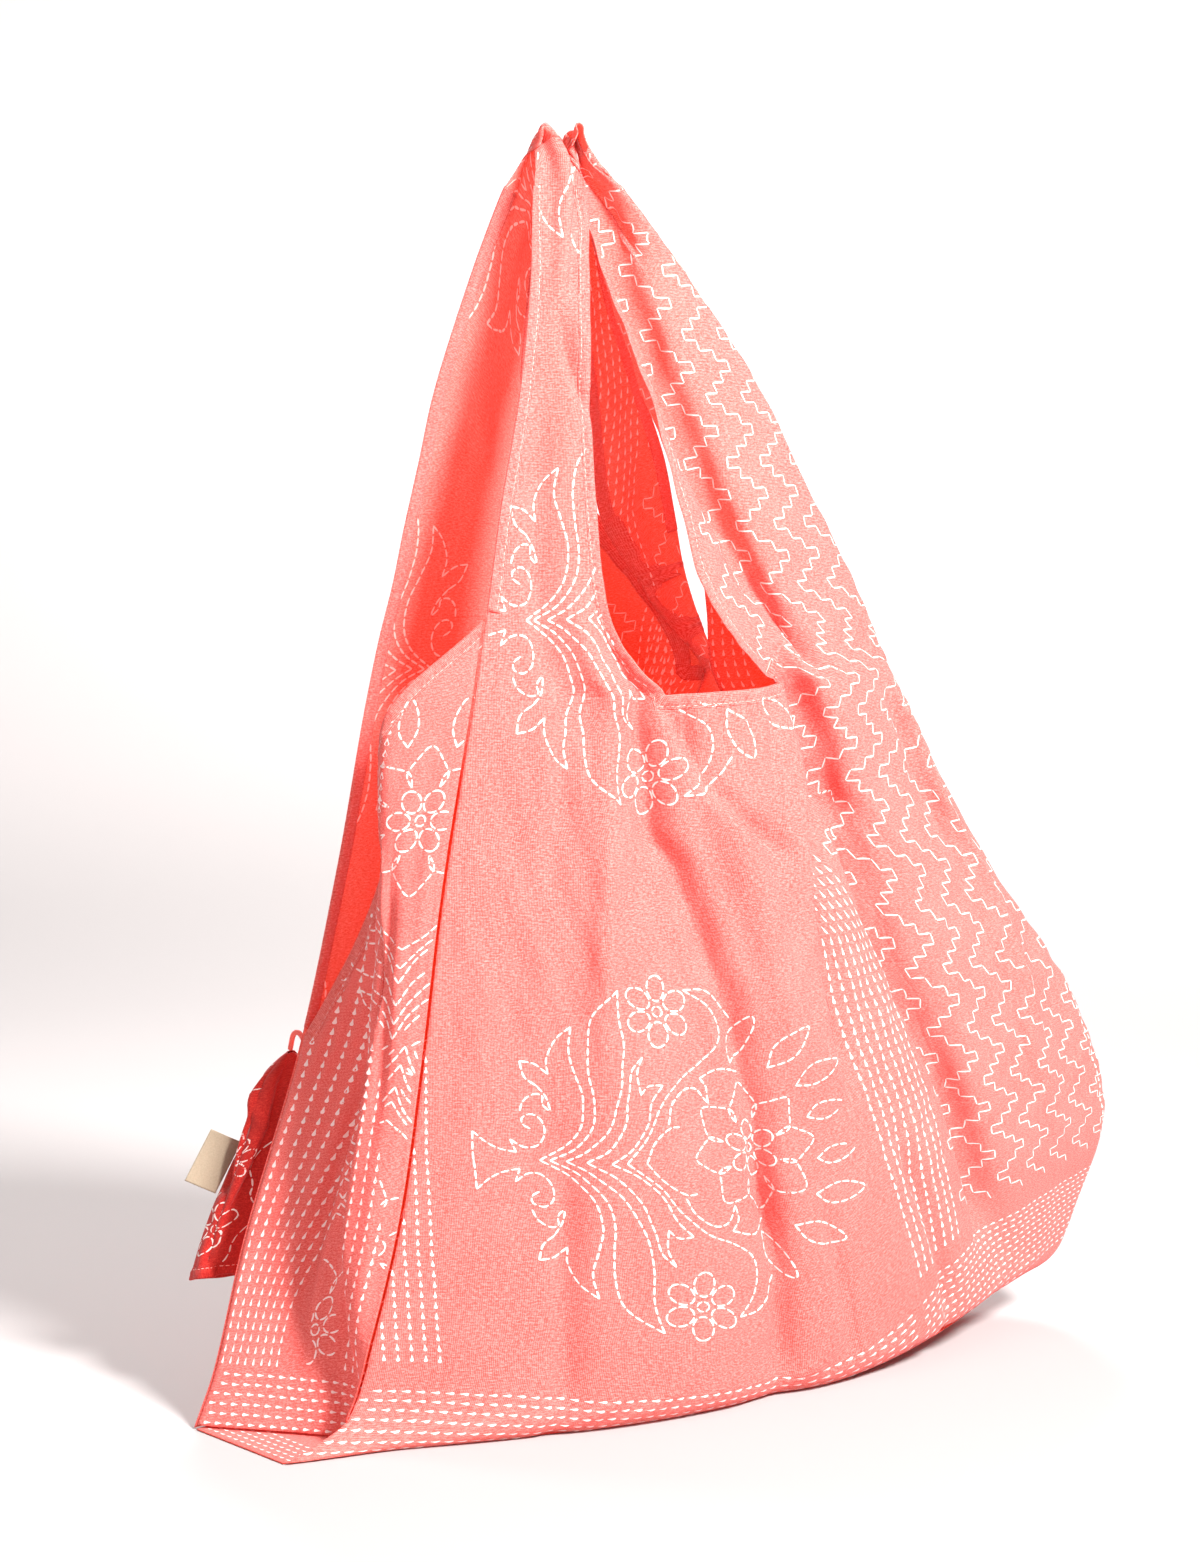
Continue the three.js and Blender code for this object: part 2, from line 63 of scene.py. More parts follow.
# ---- the bag's surfaces, in millimetres from its front left corner, as in the part's own solids
# A row per level: height, then x and y of the left fold, the two sides of the mouth and the right side.
frontRows = np.array([
    (0, -38, -8, 175, -29, 364, 15, 482, 84),
    (8, -14, -3, 175, -29, 363, 13, 484, 83),
    (18, 4, 0, 174, -30, 361, 10, 486, 82),
    (60, 19, 0, 172, -32, 348, 1, 503, 79),
    (125, 36, 0, 170, -33, 320, -9, 519, 73),
    (200, 48, 0, 171, -30, 294, -12, 488, 65),
    (300, 62, 1, 178, -22, 280, -8, 414, 55),
    (398, 80, 2, 187, -12, 268, -2, 356, 45),
    (408, 82, 3, 177, -11, 254, -1, 351, 45),
    (428, 86, 5, 163, -8, 234, 2, 341, 44),
    (455, 92, 8, 154, -4, 218, 6, 328, 44),
    (500, 101, 13, 152, 3, 208, 13, 302, 43),
    (560, 115, 19, 153, 12, 193, 21, 269, 42),
    (620, 126, 28, 158, 23, 173, 30, 225, 43),
    (660, 130, 34, 161, 30, 165, 36, 193, 44),
    (682, 133, 37, 158, 34, 163, 38, 176, 44),
    (694, 136, 40, 154, 39, 158, 40, 169, 44),
    (700, 138, 46, 151, 46, 155, 46, 166, 46),
], float)
backRows = np.array([
    (0, -55, 77, 150, 150, 270, 160, 438, 136),
    (30, -41, 82, 150, 153, 268, 162, 440, 136),
    (100, -17, 95, 154, 155, 264, 162, 426, 132),
    (200, 20, 104, 168, 149, 262, 152, 386, 125),
    (300, 42, 100, 206, 130, 264, 131, 332, 118),
    (375, 54, 94, 250, 110, 266, 109, 294, 112),
    (398, 58, 92, 263, 109, 268, 103, 281, 109),
    (425, 63, 89, 255, 110, 243, 99, 267, 105),
    (455, 70, 86, 231, 105, 219, 94, 254, 99),
    (485, 75, 82, 201, 97, 197, 88, 245, 93),
    (520, 82, 78, 166, 86, 188, 81, 234, 86),
    (560, 90, 74, 150, 76, 181, 74, 216, 79),
    (620, 108, 67, 150, 67, 168, 67, 191, 70),
    (660, 122, 62, 152, 61, 160, 61, 178, 62),
    (682, 130, 58, 151, 58, 158, 58, 171, 58),
    (694, 134, 55, 150, 55, 157, 55, 168, 54),
    (700, 137, 49, 150, 49, 156, 49, 166, 49),
], float)
# Height, then x and y of the gusset's outer lobe and of the valley behind it.
leftGussetRows = np.array([
    (0, 14, 14, -10, 38), (30, 16, 16, 2, 42), (60, 12, 20, 8, 48), (100, 9, 22, 20, 54),
    (150, 15, 22, 34, 58), (200, 24, 22, 46, 60), (300, 31, 22, 56, 62), (400, 38, 22, 62, 58),
    (450, 50, 22, 70, 50),
], float)
leftGussetHem = ((0, 0.32, 0.6, 0.85, 1), (441, 382, 316, 248, 206))
rightGussetRows = np.array([
    (340, 313, 113.6), (375, 285, 103), (398, 270, 96.5), (430, 265, 92), (480, 256, 86),
], float)
rightGussetHem = ((0, 0.5, 1), (505, 492, 472))

# Troughs that drape across a panel: from z, x, to z, x, then depth, width and how softly they end.
frontFolds = (
    (640, 174, 350, 290, 11, 15, 45), (370, 283, 80, 414, 12, 20, 70), (370, 158, 30, 250, 8, 20, 70),
    (330, 112, 60, 108, 4, 22, 80), (320, 392, 150, 466, -5, 14, 50),
)
backFolds = (
    (330, 112, 60, 40, -8, 24, 50), (320, 236, 50, 205, -10, 26, 50), (310, 292, 60, 350, -9, 24, 50),
)
frontKnots = (0, 0.31, 0.52, 0.9, 1)
backKnots = (0, 0.46, 0.62, 1)
clothThick, seamGap = 1.5, 0.35    # of the part's own solids
onBase = clothThick + 2 * seamGap
mouthHeight, rollRadius = 398.0, 14.0
gathered = {"from": 668.0, "flat": 0.7, "bow": 0.3, "power": 0.6}      # the straps' tops, bunched to hang
drawnUp = {"high": 30, "from": 300, "run": 190, "fade": 200.0}         # the right end, off the floor
returned = {"x": 4, "y": 20, "from": 480, "run": 190, "least": 0.04}   # the strip round the front's right
# Where the panels turn under the base: the point they turn towards, and how the turn fades at both sides.
turnedUnder = {"x": 217, "y": 70, "pull": 3, "left": 0.1, "right": 0.08}
foldWay, foldEnds = (0.25, 0.97), 0.06


def smooth(t):
    c = np.clip(t, 0, 1)
    return c * c * (3 - 2 * c)


def nearest(values, at):
    return int(np.argmin(abs(np.asarray(values) - at)))


def unit(vectors):
    return vectors / np.maximum(np.linalg.norm(vectors, axis=-1, keepdims=True), 1e-9)


# A smooth curve through the values at the knots. Each place has a row of values of its own.
def throughEach(knots, values, at):
    knots = np.asarray(knots, float)
    n = len(knots)
    c = np.clip(at, knots[0], knots[-1])
    k = np.clip(np.searchsorted(knots, c, side="left") - 1, 0, n - 2)
    a, b = np.maximum(np.arange(n) - 1, 0), np.minimum(np.arange(n) + 1, n - 1)
    slope = (values[:, b] - values[:, a]) / (knots[b] - knots[a])
    rows = np.arange(len(c))
    h = knots[k + 1] - knots[k]
    t = (c - knots[k]) / h
    t2, t3 = t * t, t * t * t
    return ((2 * t3 - 3 * t2 + 1) * values[rows, k] + (t3 - 2 * t2 + t) * h * slope[rows, k]
            + (3 * t2 - 2 * t3) * values[rows, k + 1] + (t3 - t2) * h * slope[rows, k + 1])


# The same, with one value or one row of values at each knot, which hold for all places.
def through(knots, values, at):
    lists = np.atleast_2d(np.asarray(values, float).T)
    made = [throughEach(knots, np.broadcast_to(one, (len(at), len(one))), at) for one in lists]
    return np.stack(made, 1) if np.ndim(values) > 1 else made[0]


# Lets a function of two plain lists work on grids.
def onGrid(pointAt):
    def point(across, up):
        across, up = np.broadcast_arrays(np.asarray(across, float), np.asarray(up, float))
        return np.stack(pointAt(across.ravel(), up.ravel()), 1).reshape(across.shape + (3,))
    return point


def lift(x):
    return drawnUp["high"] * smooth((x - drawnUp["from"]) / drawnUp["run"])


def trough(folds, x, z):
    push = np.zeros_like(x)
    for fromZ, fromX, toZ, toX, deep, wide, fade in folds:
        along = (fromZ - z) / (fromZ - toZ)
        off = (x - (fromX + (toX - fromX) * along)) / wide
        ends = smooth((fromZ + fade - z) / fade) * smooth((z - toZ + fade) / fade)
        push += deep * np.exp(-off * off) * ends
    return push


def gather(across, z, knots):
    left = across <= knots[1]
    start, end = np.where(left, knots[0], knots[2]), np.where(left, knots[1], knots[-1])
    bow = np.sin(np.pi * np.clip((across - start) / (end - start), 0, 1)) ** gathered["power"]
    top = gathered["from"] + (z - gathered["from"]) * (gathered["flat"] + gathered["bow"] * bow)
    return np.where(z <= gathered["from"], z, top)


def frontPlan(across, z):
    row = through(frontRows[:, 0], frontRows[:, 1:], z)
    shrink = 1 + (returned["least"] - 1) * smooth((z - returned["from"]) / returned["run"])
    xs = np.concatenate([row[:, 0::2], (row[:, 6] + returned["x"] * shrink)[:, None]], 1)
    ys = np.concatenate([row[:, 1::2], (row[:, 7] + returned["y"] * shrink)[:, None]], 1)
    return throughEach(frontKnots, xs, across), throughEach(frontKnots, ys, across)


def backPlan(across, z):
    row = through(backRows[:, 0], backRows[:, 1:], z)
    return throughEach(backKnots, row[:, 0::2], across), throughEach(backKnots, row[:, 1::2], across)


def panelPoint(plan, folds, knots):
    def pointAt(across, level):
        edgeX = plan(across, np.zeros_like(across))[0]
        z = level + lift(edgeX) * (1 - smooth(level / drawnUp["fade"]))
        x, y = plan(across, z)
        under = rollRadius - np.sqrt(np.maximum(rollRadius ** 2 - np.maximum(rollRadius - level, 0) ** 2, 0))
        under = under * smooth(across / turnedUnder["left"]) * smooth((1 - across) / turnedUnder["right"])
        toX, toY = turnedUnder["x"] - x, turnedUnder["pull"] * (turnedUnder["y"] - y)
        far = np.hypot(toX, toY)
        push = trough(folds, x, z) * smooth(across / foldEnds) * smooth((1 - across) / foldEnds)
        return (x + under * toX / far + push * foldWay[0], y + under * toY / far + push * foldWay[1],
                gather(across, z, knots))
    return onGrid(pointAt)


frontPoint = panelPoint(frontPlan, frontFolds, frontKnots)
backPoint = panelPoint(backPlan, backFolds, backKnots)


# ---- the panels: a grid of points each, and where the cloth's own print runs on it
def spread(knots, counts):
    parts = [np.linspace(knots[k], knots[k + 1], count + 1)[:-1] for k, count in enumerate(counts)]
    return np.concatenate(parts + [[knots[-1]]])


panelLevels = spread((0.8, 16, mouthHeight, 470, 640, 700), (8, 106, 24, 45, 30))
mouthRow = nearest(panelLevels, mouthHeight)


def arcs(grid):
    steps = np.linalg.norm(np.diff(grid, axis=1), axis=2)
    return np.concatenate([np.zeros((len(grid), 1)), np.cumsum(steps, axis=1)], axis=1)


def runOf(line):
    return arcs(line[None])[0]


def interpolated(d, run, table):
    return np.stack([np.interp(d, run, table[:, c]) for c in range(table.shape[1])], -1)


def rolledLength(level):
    inside = np.clip((rollRadius - level) / rollRadius, 0, 1)
    return np.where(level < rollRadius, rollRadius - rollRadius * np.arcsin(inside), level)


# How the front's cloth lies: level, the cloth's own mm at the left fold, at the mouth's right side
# and just past the pleat there, and the place along the panel where the dash band ends.
frontCloth = np.array([
    (0, -6, 279, 279, 0.610), (49, -3, 279, 279, 0.608), (107, 12, 279, 279, 0.611),
    (158, 21, 279, 279, 0.620), (214, 28, 279, 279, 0.615), (257, 33, 279, 279, 0.597),
    (288, 37, 266, 305, 0.566), (312, 40, 259, 326, 0.530), (349, 47, 262, 330, 0.524),
    (390, 54, 260, 330, 0.523), (445, 63, 198, 328, 0.524), (560, 80, 163, 334, 0.524),
    (700, 90, 121, 345, 0.524),
], float)
# The bottom row of the print curves up: how far, in mm, along the panel.
firstRow = ((0, 0.085, 0.173, 0.255, 0.341, 0.415, 0.492, 0.618, 0.886, 1),
            (34, 30, 25, 18, 13, 10, 23, 51, 74, 80))
# Where the dash band ends on the cloth, the shortest stretch that is fitted to it, and the height at
# which the first row's curve has faded.
bandEndAt, shortSpan, firstRowFade = 330, 8, 300


def frontClothAt(grid, columns, levels):
    length = arcs(grid)
    atLeft, atMouth, pastPleat, bandShare = interpolated(levels, frontCloth[:, 0], frontCloth[:, 1:]).T
    pleat = nearest(columns, frontKnots[2])
    left = length[:, :pleat + 1] / length[:, pleat:pleat + 1]
    s = np.zeros_like(length)
    s[:, :pleat + 1] = atLeft[:, None] + left * (atMouth - atLeft)[:, None]
    right = length[:, pleat:] - length[:, pleat:pleat + 1]
    for j in range(len(levels)):
        bandEnd = np.interp(bandShare[j], columns[pleat:], right[j])
        span = bandEndAt - pastPleat[j]
        stretch = span / bandEnd if min(span, bandEnd) > shortSpan else 1.0
        moved = np.where(right[j] < bandEnd, right[j] * stretch, right[j] - bandEnd + bandEnd * stretch)
        s[j, pleat + 1:] = pastPleat[j] + moved[1:]
    fade = 1 - smooth(levels / firstRowFade)
    t = rolledLength(levels)[:, None] - np.interp(columns, *firstRow)[None, :] * fade[:, None]
    return {"s": s, "t": t, "pleat": pleat}


# ---- small helpers for materials
def toLinear(hexColour):
    values = [int(hexColour[i:i + 2], 16) / 255 for i in (1, 3, 5)]
    return tuple(v / 12.92 if v <= 0.04045 else ((v + 0.055) / 1.055) ** 2.4 for v in values) + (1.0,)


def addNode(tree, kind, settings=None, inputs=None):
    made = tree.nodes.new(kind)
    for key, value in (settings or {}).items():
        setattr(made, key, value)
    for key, value in (inputs or {}).items():
        if isinstance(value, bpy.types.NodeSocket):
            tree.links.new(value, made.inputs[key])
        else:
            made.inputs[key].default_value = value
    return made


def sumOf(tree, operation, *inputs, **settings):
    settings["operation"] = operation
    return addNode(tree, "ShaderNodeMath", settings, dict(enumerate(inputs))).outputs[0]


def noiseOf(tree, scale, detail, rough=0.5, place=None):
    inputs = {"Scale": scale, "Detail": detail, "Roughness": rough}
    if place:
        inputs["Vector"] = place
    return addNode(tree, "ShaderNodeTexNoise", None, inputs).outputs["Fac"]


def rampOf(tree, value, low, high, atLow=0.0, atHigh=1.0):
    inputs = {"Value": value, "From Min": low, "From Max": high, "To Min": atLow, "To Max": atHigh}
    return addNode(tree, "ShaderNodeMapRange", {"interpolation_type": "SMOOTHSTEP"}, inputs).outputs[0]


def colourOf(tree, amount, one, two):
    inputs = {0: amount, 6: toLinear(one), 7: toLinear(two)}
    return addNode(tree, "ShaderNodeMix", {"data_type": "RGBA"}, inputs).outputs[2]


def bumpOf(tree, height, strength, deep):
    inputs = {"Height": height, "Strength": strength, "Distance": deep}
    return addNode(tree, "ShaderNodeBump", None, inputs).outputs[0]


def objectPlace(tree):
    return addNode(tree, "ShaderNodeTexCoord").outputs["Object"]


def newMaterial(name):
    material = bpy.data.materials.new(name)
    material.use_nodes = True
    material.node_tree.nodes.clear()
    return material, material.node_tree


# The surface, and with it a share of light that comes through from behind.
def closeMaterial(tree, surface, see=0.0, behind=None):
    shader = addNode(tree, "ShaderNodeBsdfPrincipled", None, surface)
    if behind:
        light = addNode(tree, "ShaderNodeBsdfTranslucent", None, behind)
        parts = {0: see, 1: shader.outputs[0], 2: light.outputs[0]}
        shader = addNode(tree, "ShaderNodeMixShader", None, parts)
    addNode(tree, "ShaderNodeOutputMaterial", None, {"Surface": shader.outputs[0]})


# Printed polyester crepe: a thin woven cloth, matt and a little see-through, so layers behind it
# and light from behind turn it a warm orange red. The pale weft shows as a fine speckle.
crepe = {
    "warp": "#DB4F48", "weft": "#FFAAA2", "through": "#FF8A66", "see": 0.4, "roughness": 0.82, "sheen": 0.15,
    "weaveScale": 0.3927,    # threads 0.8 mm wide, coarser than the real ones so that they show
    "speckleMm": 1.1, "slub": (0.45, 1.25, 1), "fleck": 0.55, "pale": (0.48, 0.7), "driftMm": 45,
    "bumpMm": 0.2, "pressedMm": (121, 57), "pressedWideMm": 1.6, "pressedDeep": -3.0,    # lines of folding
}


def crepeMaterial(name, look):
    material, tree = newMaterial(name)
    place = addNode(tree, "ShaderNodeUVMap", {"uv_map": "clothMm"}).outputs[0]
    flat = addNode(tree, "ShaderNodeMapping", None, {"Vector": place, "Scale": (1000, 1000, 1000)}).outputs[0]
    slub = addNode(tree, "ShaderNodeMapping", None, {"Vector": flat, "Scale": look["slub"]}).outputs[0]
    grain = noiseOf(tree, 1 / look["speckleMm"], 2.0, 0.7, flat)
    fleck = noiseOf(tree, 1 / look["speckleMm"], 2.0, 0.6, slub)
    drift = noiseOf(tree, 1 / look["driftMm"], 3.0, 0.6, flat)
    threads = [addNode(tree, "ShaderNodeTexWave", {"wave_type": "BANDS", "bands_direction": direction},
                       {"Vector": flat, "Scale": look["weaveScale"], "Distortion": 2.5, "Detail": 1.0,
                        "Detail Scale": 0.6}).outputs["Fac"] for direction in "XY"]
    parts = {0: look["fleck"], 2: grain, 3: fleck}
    both = addNode(tree, "ShaderNodeMix", {"data_type": "FLOAT"}, parts).outputs[0]
    mixed = sumOf(tree, "MULTIPLY_ADD", sumOf(tree, "MULTIPLY", *threads), 0.3, both)
    shade = sumOf(tree, "MULTIPLY_ADD", drift, 0.25, -0.1)
    amount = sumOf(tree, "ADD", rampOf(tree, mixed, *look["pale"]), shade, use_clamp=True)
    split = addNode(tree, "ShaderNodeSeparateXYZ", None, {0: flat})
    height = mixed
    for axis, pitch in enumerate(look["pressedMm"]):
        part = sumOf(tree, "PINGPONG", sumOf(tree, "DIVIDE", split.outputs[axis], pitch), 0.5)
        line = rampOf(tree, part, 0.0, look["pressedWideMm"] / pitch, 1.0, 0.0)
        worn = sumOf(tree, "MULTIPLY", line, drift)
        height = sumOf(tree, "MULTIPLY_ADD", worn, look["pressedDeep"], height)
    bump = bumpOf(tree, height, 0.5, look["bumpMm"] * mm)
    colour = colourOf(tree, amount, look["warp"], look["weft"])
    surface = {"Base Color": colour, "Roughness": look["roughness"], "Sheen Weight": look["sheen"],
               "Sheen Roughness": 0.5, "Specular IOR Level": 0.2, "Normal": bump}
    closeMaterial(tree, surface, look["see"], {"Color": toLinear(look["through"]), "Normal": bump})
    return material


# Discharge print: the pale pattern is printed on the same cloth, so it is matt and lets light through.
def inkMaterial(name, colours, see, glow):
    material, tree = newMaterial(name)
    worn = colourOf(tree, noiseOf(tree, 900.0, 1.0, place=objectPlace(tree)), *colours)
    # A glow, where given, is painted light: the ink emits a little pink light of its own.
    surface = {"Base Color": worn, "Roughness": 0.85, "Specular IOR Level": 0.2,
               "Emission Color": toLinear("#FFB4A8"), "Emission Strength": glow}
    closeMaterial(tree, surface, see, {"Color": worn})
    return material


crepeCloth = crepeMaterial("printedCrepe", crepe)
# The pouch, crumpled, takes a deeper red copy of the crepe with little light through it: painted shade, as it
# hangs behind the left gusset.
pouchClothInPaintedShade = crepeMaterial("pouchCrepeInPaintedShade",
                          {**crepe, "warp": "#A81614", "weft": "#D23A30", "through": "#D02015", "see": 0.12})
paleInk = inkMaterial("paleInk", ("#FFF4EF", "#FFE3DC"), 0.3, 0.0)
# Seen from the inside the bleached lines take a pinker copy of the ink with a faint glow: painted light for
# the outer light that comes through them.
innerInk = inkMaterial("paleInkSeenFromBehind", ("#FFD8D0", "#FFC2B8"), 0.4, 0.3)
print("materials made")


# ---- sheets of cloth on grids of points
def normalsOf(grid, outward):
    return unit(np.cross(np.gradient(grid, axis=1), np.gradient(grid, axis=0)) * outward)


def meshObject(name, points, faces, material):
    mesh = bpy.data.meshes.new(name)
    mesh.from_pydata(points, [], faces)
    mesh.materials.append(material)
    mesh.polygons.foreach_set("use_smooth", [True] * len(mesh.polygons))
    mesh.update()
    return addObject(name, mesh)


def bagPiece(name, points, faces, material):
    made = meshObject(name, ((np.asarray(points) - boxMiddle) * mm).tolist(), faces, material)
    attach(made, "root")
    return made


def layCloth(made, uv):
    layer = made.data.uv_layers.new(name="clothMm")
    corner = np.empty(len(made.data.loops), int)
    made.data.loops.foreach_get("vertex_index", corner)
    layer.data.foreach_set("uv", (uv * mm)[corner].ravel())


# The faces of a tube with so many points round it at each station, closed at both ends.
def tubeFaces(count, stations):
    grid = np.arange(count * stations).reshape(stations, count)
    beside = np.roll(grid, -1, axis=1)
    faces = np.stack([grid[:-1], beside[:-1], beside[1:], grid[1:]], -1).reshape(-1, 4)
    return faces.tolist() + [grid[0, ::-1].tolist(), grid[-1].tolist()]


def clothSheet(name, sheet, thick, material):
    grid, normals, keep, cloth = (sheet[key] for key in ("grid", "normals", "keep", "cloth"))
    rows, columns = grid.shape[:2]
    size = rows * columns
    sides = [grid + normals * thick / 2, grid - normals * thick / 2]
    points = np.concatenate([side.reshape(-1, 3) for side in sides])
    j, i = np.nonzero(keep)
    a, b = j * columns + i, j * columns + i + 1
    c, d = a + columns + 1, a + columns
    faces = [np.stack([a, b, c, d], 1), np.stack([a, d, c, b], 1) + size]
    padded = np.pad(keep, 1)
    for dj, di, p, q in ((-1, 0, a, b), (0, 1, b, c), (1, 0, c, d), (0, -1, d, a)):
        faces.append(np.stack([p, p + size, q + size, q], 1)[~padded[j + 1 + dj, i + 1 + di]])
    faces = np.concatenate(faces)
    used = np.unique(faces)
    index = np.full(2 * size, -1)
    index[used] = np.arange(len(used))
    made = bagPiece(name, points[used], index[faces].tolist(), material)
    layCloth(made, np.tile(np.stack([cloth["s"].ravel(), cloth["t"].ravel()], 1), (2, 1))[used])
    return made


# ---- gussets, base and pouch: they start and end a millimetre or so inside the panels they are sewn to
gussetKnots, seamLevel = (0, 0.28, 0.58, 1), 18
freeFrom, gussetBow = 340, (6, 12)    # where the right gusset leaves the back panel, and how it bows out


def sideXY(rows, column, z):
    at = through(rows[:, 0], rows[:, 1:], z)
    return at[:, column], at[:, column + 1]


@onGrid
def leftGussetPoint(across, up):
    top = through(*leftGussetHem, across)
    z = onBase + (top - onBase) * up
    foldX, foldY = sideXY(frontRows, 0, np.maximum(z, seamLevel))
    backX, backY = sideXY(backRows, 0, z)
    lobeX, lobeY = sideXY(leftGussetRows, 0, z)
    valleyX, valleyY = sideXY(leftGussetRows, 2, z)
    x = throughEach(gussetKnots, np.stack([foldX - 1, lobeX, valleyX, backX + 0.5], 1), across)
    y = throughEach(gussetKnots, np.stack([foldY + 1.5, lobeY, valleyY, backY - 1.6], 1), across)
    return x, y, z


@onGrid
def rightGussetPoint(across, up):
    top = through(*rightGussetHem, across)
    zero = np.zeros_like(across)
    seamX = frontPlan(zero + 1, zero)[0]
    sideX = sideXY(backRows, 6, zero)[0]
    bottom = onBase + 1.4 * seamGap + lift(seamX + (sideX - seamX) * across)
    z = bottom + (top - bottom) * up
    startX, startY = frontPlan(zero + 1, z)
    backX, backY = sideXY(backRows, 6, z)
    freeX, freeY = sideXY(rightGussetRows, 0, z)
    endX = np.where(z > freeFrom, freeX, backX + 1.1)
    endY = np.where(z > freeFrom, freeY, backY - 1.4)
    bow = np.sin(np.pi * across)
    x = startX - 0.4 + (endX - startX + 0.4) * across + gussetBow[0] * bow
    y = startY + 1.4 + (endY - startY - 1.4) * across + gussetBow[1] * bow
    return x, y, z


baseAt = {"level": 0.8, "inset": 2.1, "height": 0.45}


def basePoint(across, deep):
    front0 = frontPoint(across, baseAt["level"])
    back0 = backPoint(across, baseAt["level"])
    way = (back0 - front0)[..., :2]
    inset = baseAt["inset"] / np.linalg.norm(way, axis=-1)
    t = inset + (1 - 2 * inset) * deep
    xy = front0[..., :2] + way * t[..., None]
    return np.concatenate([xy, (baseAt["height"] + lift(xy[..., :1]))], -1)


# Height, then x and y of the pouch's middle and its half widths along x and y.
pouchRows = np.array([
    (68, -19, 134, 16, 10), (95, -12, 133, 15, 9), (130, 3, 131, 17, 10), (160, 13, 129, 16, 10),
    (180, 18, 127, 14, 9), (189, 21, 125, 8, 6), (194, 22, 123, 2.4, 2.2),
], float)
pouchShape = {"bottom": 68, "top": 194, "crowd": 1.4, "crease": 2.4, "creaseFade": 30, "sag": 3}


@onGrid
def pouchPoint(turnShare, up):
    bottom, top = pouchShape["bottom"], pouchShape["top"]
    turn = 2 * np.pi * turnShare
    z = bottom + (top - bottom) * (1 - (1 - up) ** pouchShape["crowd"])
    row = through(pouchRows[:, 0], pouchRows[:, 1:], z)
    crease = pouchShape["crease"] * smooth((top - z) / pouchShape["creaseFade"]) * np.cos(3 * turn + up * 2)
    x = row[:, 0] + (row[:, 2] + crease) * np.cos(turn)
    y = row[:, 1] + (row[:, 3] + crease * 0.6) * np.sin(turn)
    return x, y, z - pouchShape["sag"] * (1 - up) ** 2 * np.sin(turn)


# ---- finer creases, only on the cloth that is seen: level and place along the panel, in thousandths, for
# each point down the crease, then its depth, its fall to the left and to the right, and its fade, in mm.
frontCreases = (
    ((440, 290, 381, 262, 324, 296, 306, 331, 275, 358, 235, 391, 204, 406, 166, 414, 127, 409, 86, 409),
      10, 6.5, 10, 60),
    ((360, 360, 330, 400, 290, 430, 250, 450, 190, 460), -6.5, 11, 15, 70),
    ((392, 312, 347, 371, 309, 461), 8, 4, 10, 30),
    ((400, 522, 347, 524, 317, 522, 282, 514, 233, 516, 190, 518), 9, 3, 20, 60),
    ((396, 512, 347, 514, 282, 505, 233, 506, 170, 508), -3.6, 22, 3, 60),
    ((355, 540, 327, 586, 298, 599, 266, 609, 233, 624, 197, 639, 158, 649, 110, 649, 60, 650), 11, 5, 10,
      50),
    ((385, 885, 362, 882, 327, 860, 294, 877, 263, 870, 225, 837, 190, 820), -4.4, 4, 6, 50),
    ((385, 845, 362, 845, 327, 825, 294, 840, 225, 800, 150, 780), 4, 8, 5, 60),
    ((140, 414, 86, 409, 47, 404, 15, 400), 7.5, 4, 8, 40),
    ((110, 456, 60, 453, 20, 451), 3.5, 3, 6, 30),
    ((130, 560, 60, 570, 10, 575), 6, 4, 9, 50),
    ((150, 200, 60, 215, 10, 220), 4.8, 6, 10, 60),
    ((692, 600, 654, 620, 615, 600, 571, 575, 547, 576, 501, 599, 474, 630, 437, 647, 405, 660), 12, 6, 9,
      50),
    ((600, 160, 588, 175, 558, 271, 548, 300), 4.2, 2.5, 6, 15),
    ((560, 100, 480, 130, 400, 150, 300, 160), 5, 7, 12, 80),
    ((430, 225, 380, 215, 300, 235, 200, 245), -4.4, 7, 9, 80),
    ((395, 340, 380, 345, 366, 348), 2.6, 2.5, 3, 18),
    ((395, 385, 378, 392, 360, 395), 2.6, 2.5, 3, 22),
    ((395, 430, 384, 433, 372, 436), 2.4, 2.5, 3, 18),
    ((395, 475, 375, 470, 350, 462), 2.8, 3, 4, 26),
    ((694, 215, 672, 205, 645, 190, 615, 185), 3.6, 2.5, 5, 16),
    ((694, 700, 665, 720, 630, 735), 3.4, 2.5, 6, 20),
)
backCreases = (
    ((690, 100, 640, 160, 580, 200, 520, 220), 4, 6, 9, 50),
    ((560, 720, 500, 740, 440, 760), 3, 6, 8, 50),
    ((330, 200, 200, 180, 60, 140), -4, 14, 18, 80),
    ((330, 700, 200, 740, 60, 780), -4, 12, 18, 80),
    ((420, 400, 300, 360, 180, 340), -4, 8, 16, 80),
)
gussetCreases = (
    ((330, 360, 295, 320, 208, 235, 179, 290, 94, 320, 40, 300), 8.5, 3, 14, 60),
    ((200, 660, 120, 700, 50, 660), 4.5, 5, 9, 60),
    ((260, 120, 160, 130, 60, 120), -3.5, 5, 8, 70),
    ((340, 170, 260, 190, 170, 170), 4, 4, 8, 60),
    ((330, 50, 240, 60, 120, 70), -2.5, 4, 5, 60),
    ((350, 600, 280, 560, 220, 520), 3.5, 4, 9, 60),
)
rightCreases = (
    ((420, 400, 250, 440, 90, 480), 4, 8, 12, 90),
)
pouchCreases = (
    ((185, 550, 150, 600, 110, 560, 80, 600), 5, 2.5, 7, 25),
    ((190, 720, 150, 740, 100, 700), 4.4, 3, 6, 30),
    ((188, 400, 160, 440, 120, 420), 4.2, 3, 6, 25),
    ((150, 300, 120, 480, 105, 620), 3.4, 3, 7, 20),
    ((100, 500, 75, 680, 60, 800), 3, 3, 7, 20),
    ((175, 480, 160, 600, 150, 750), -3, 4, 5, 16),
)


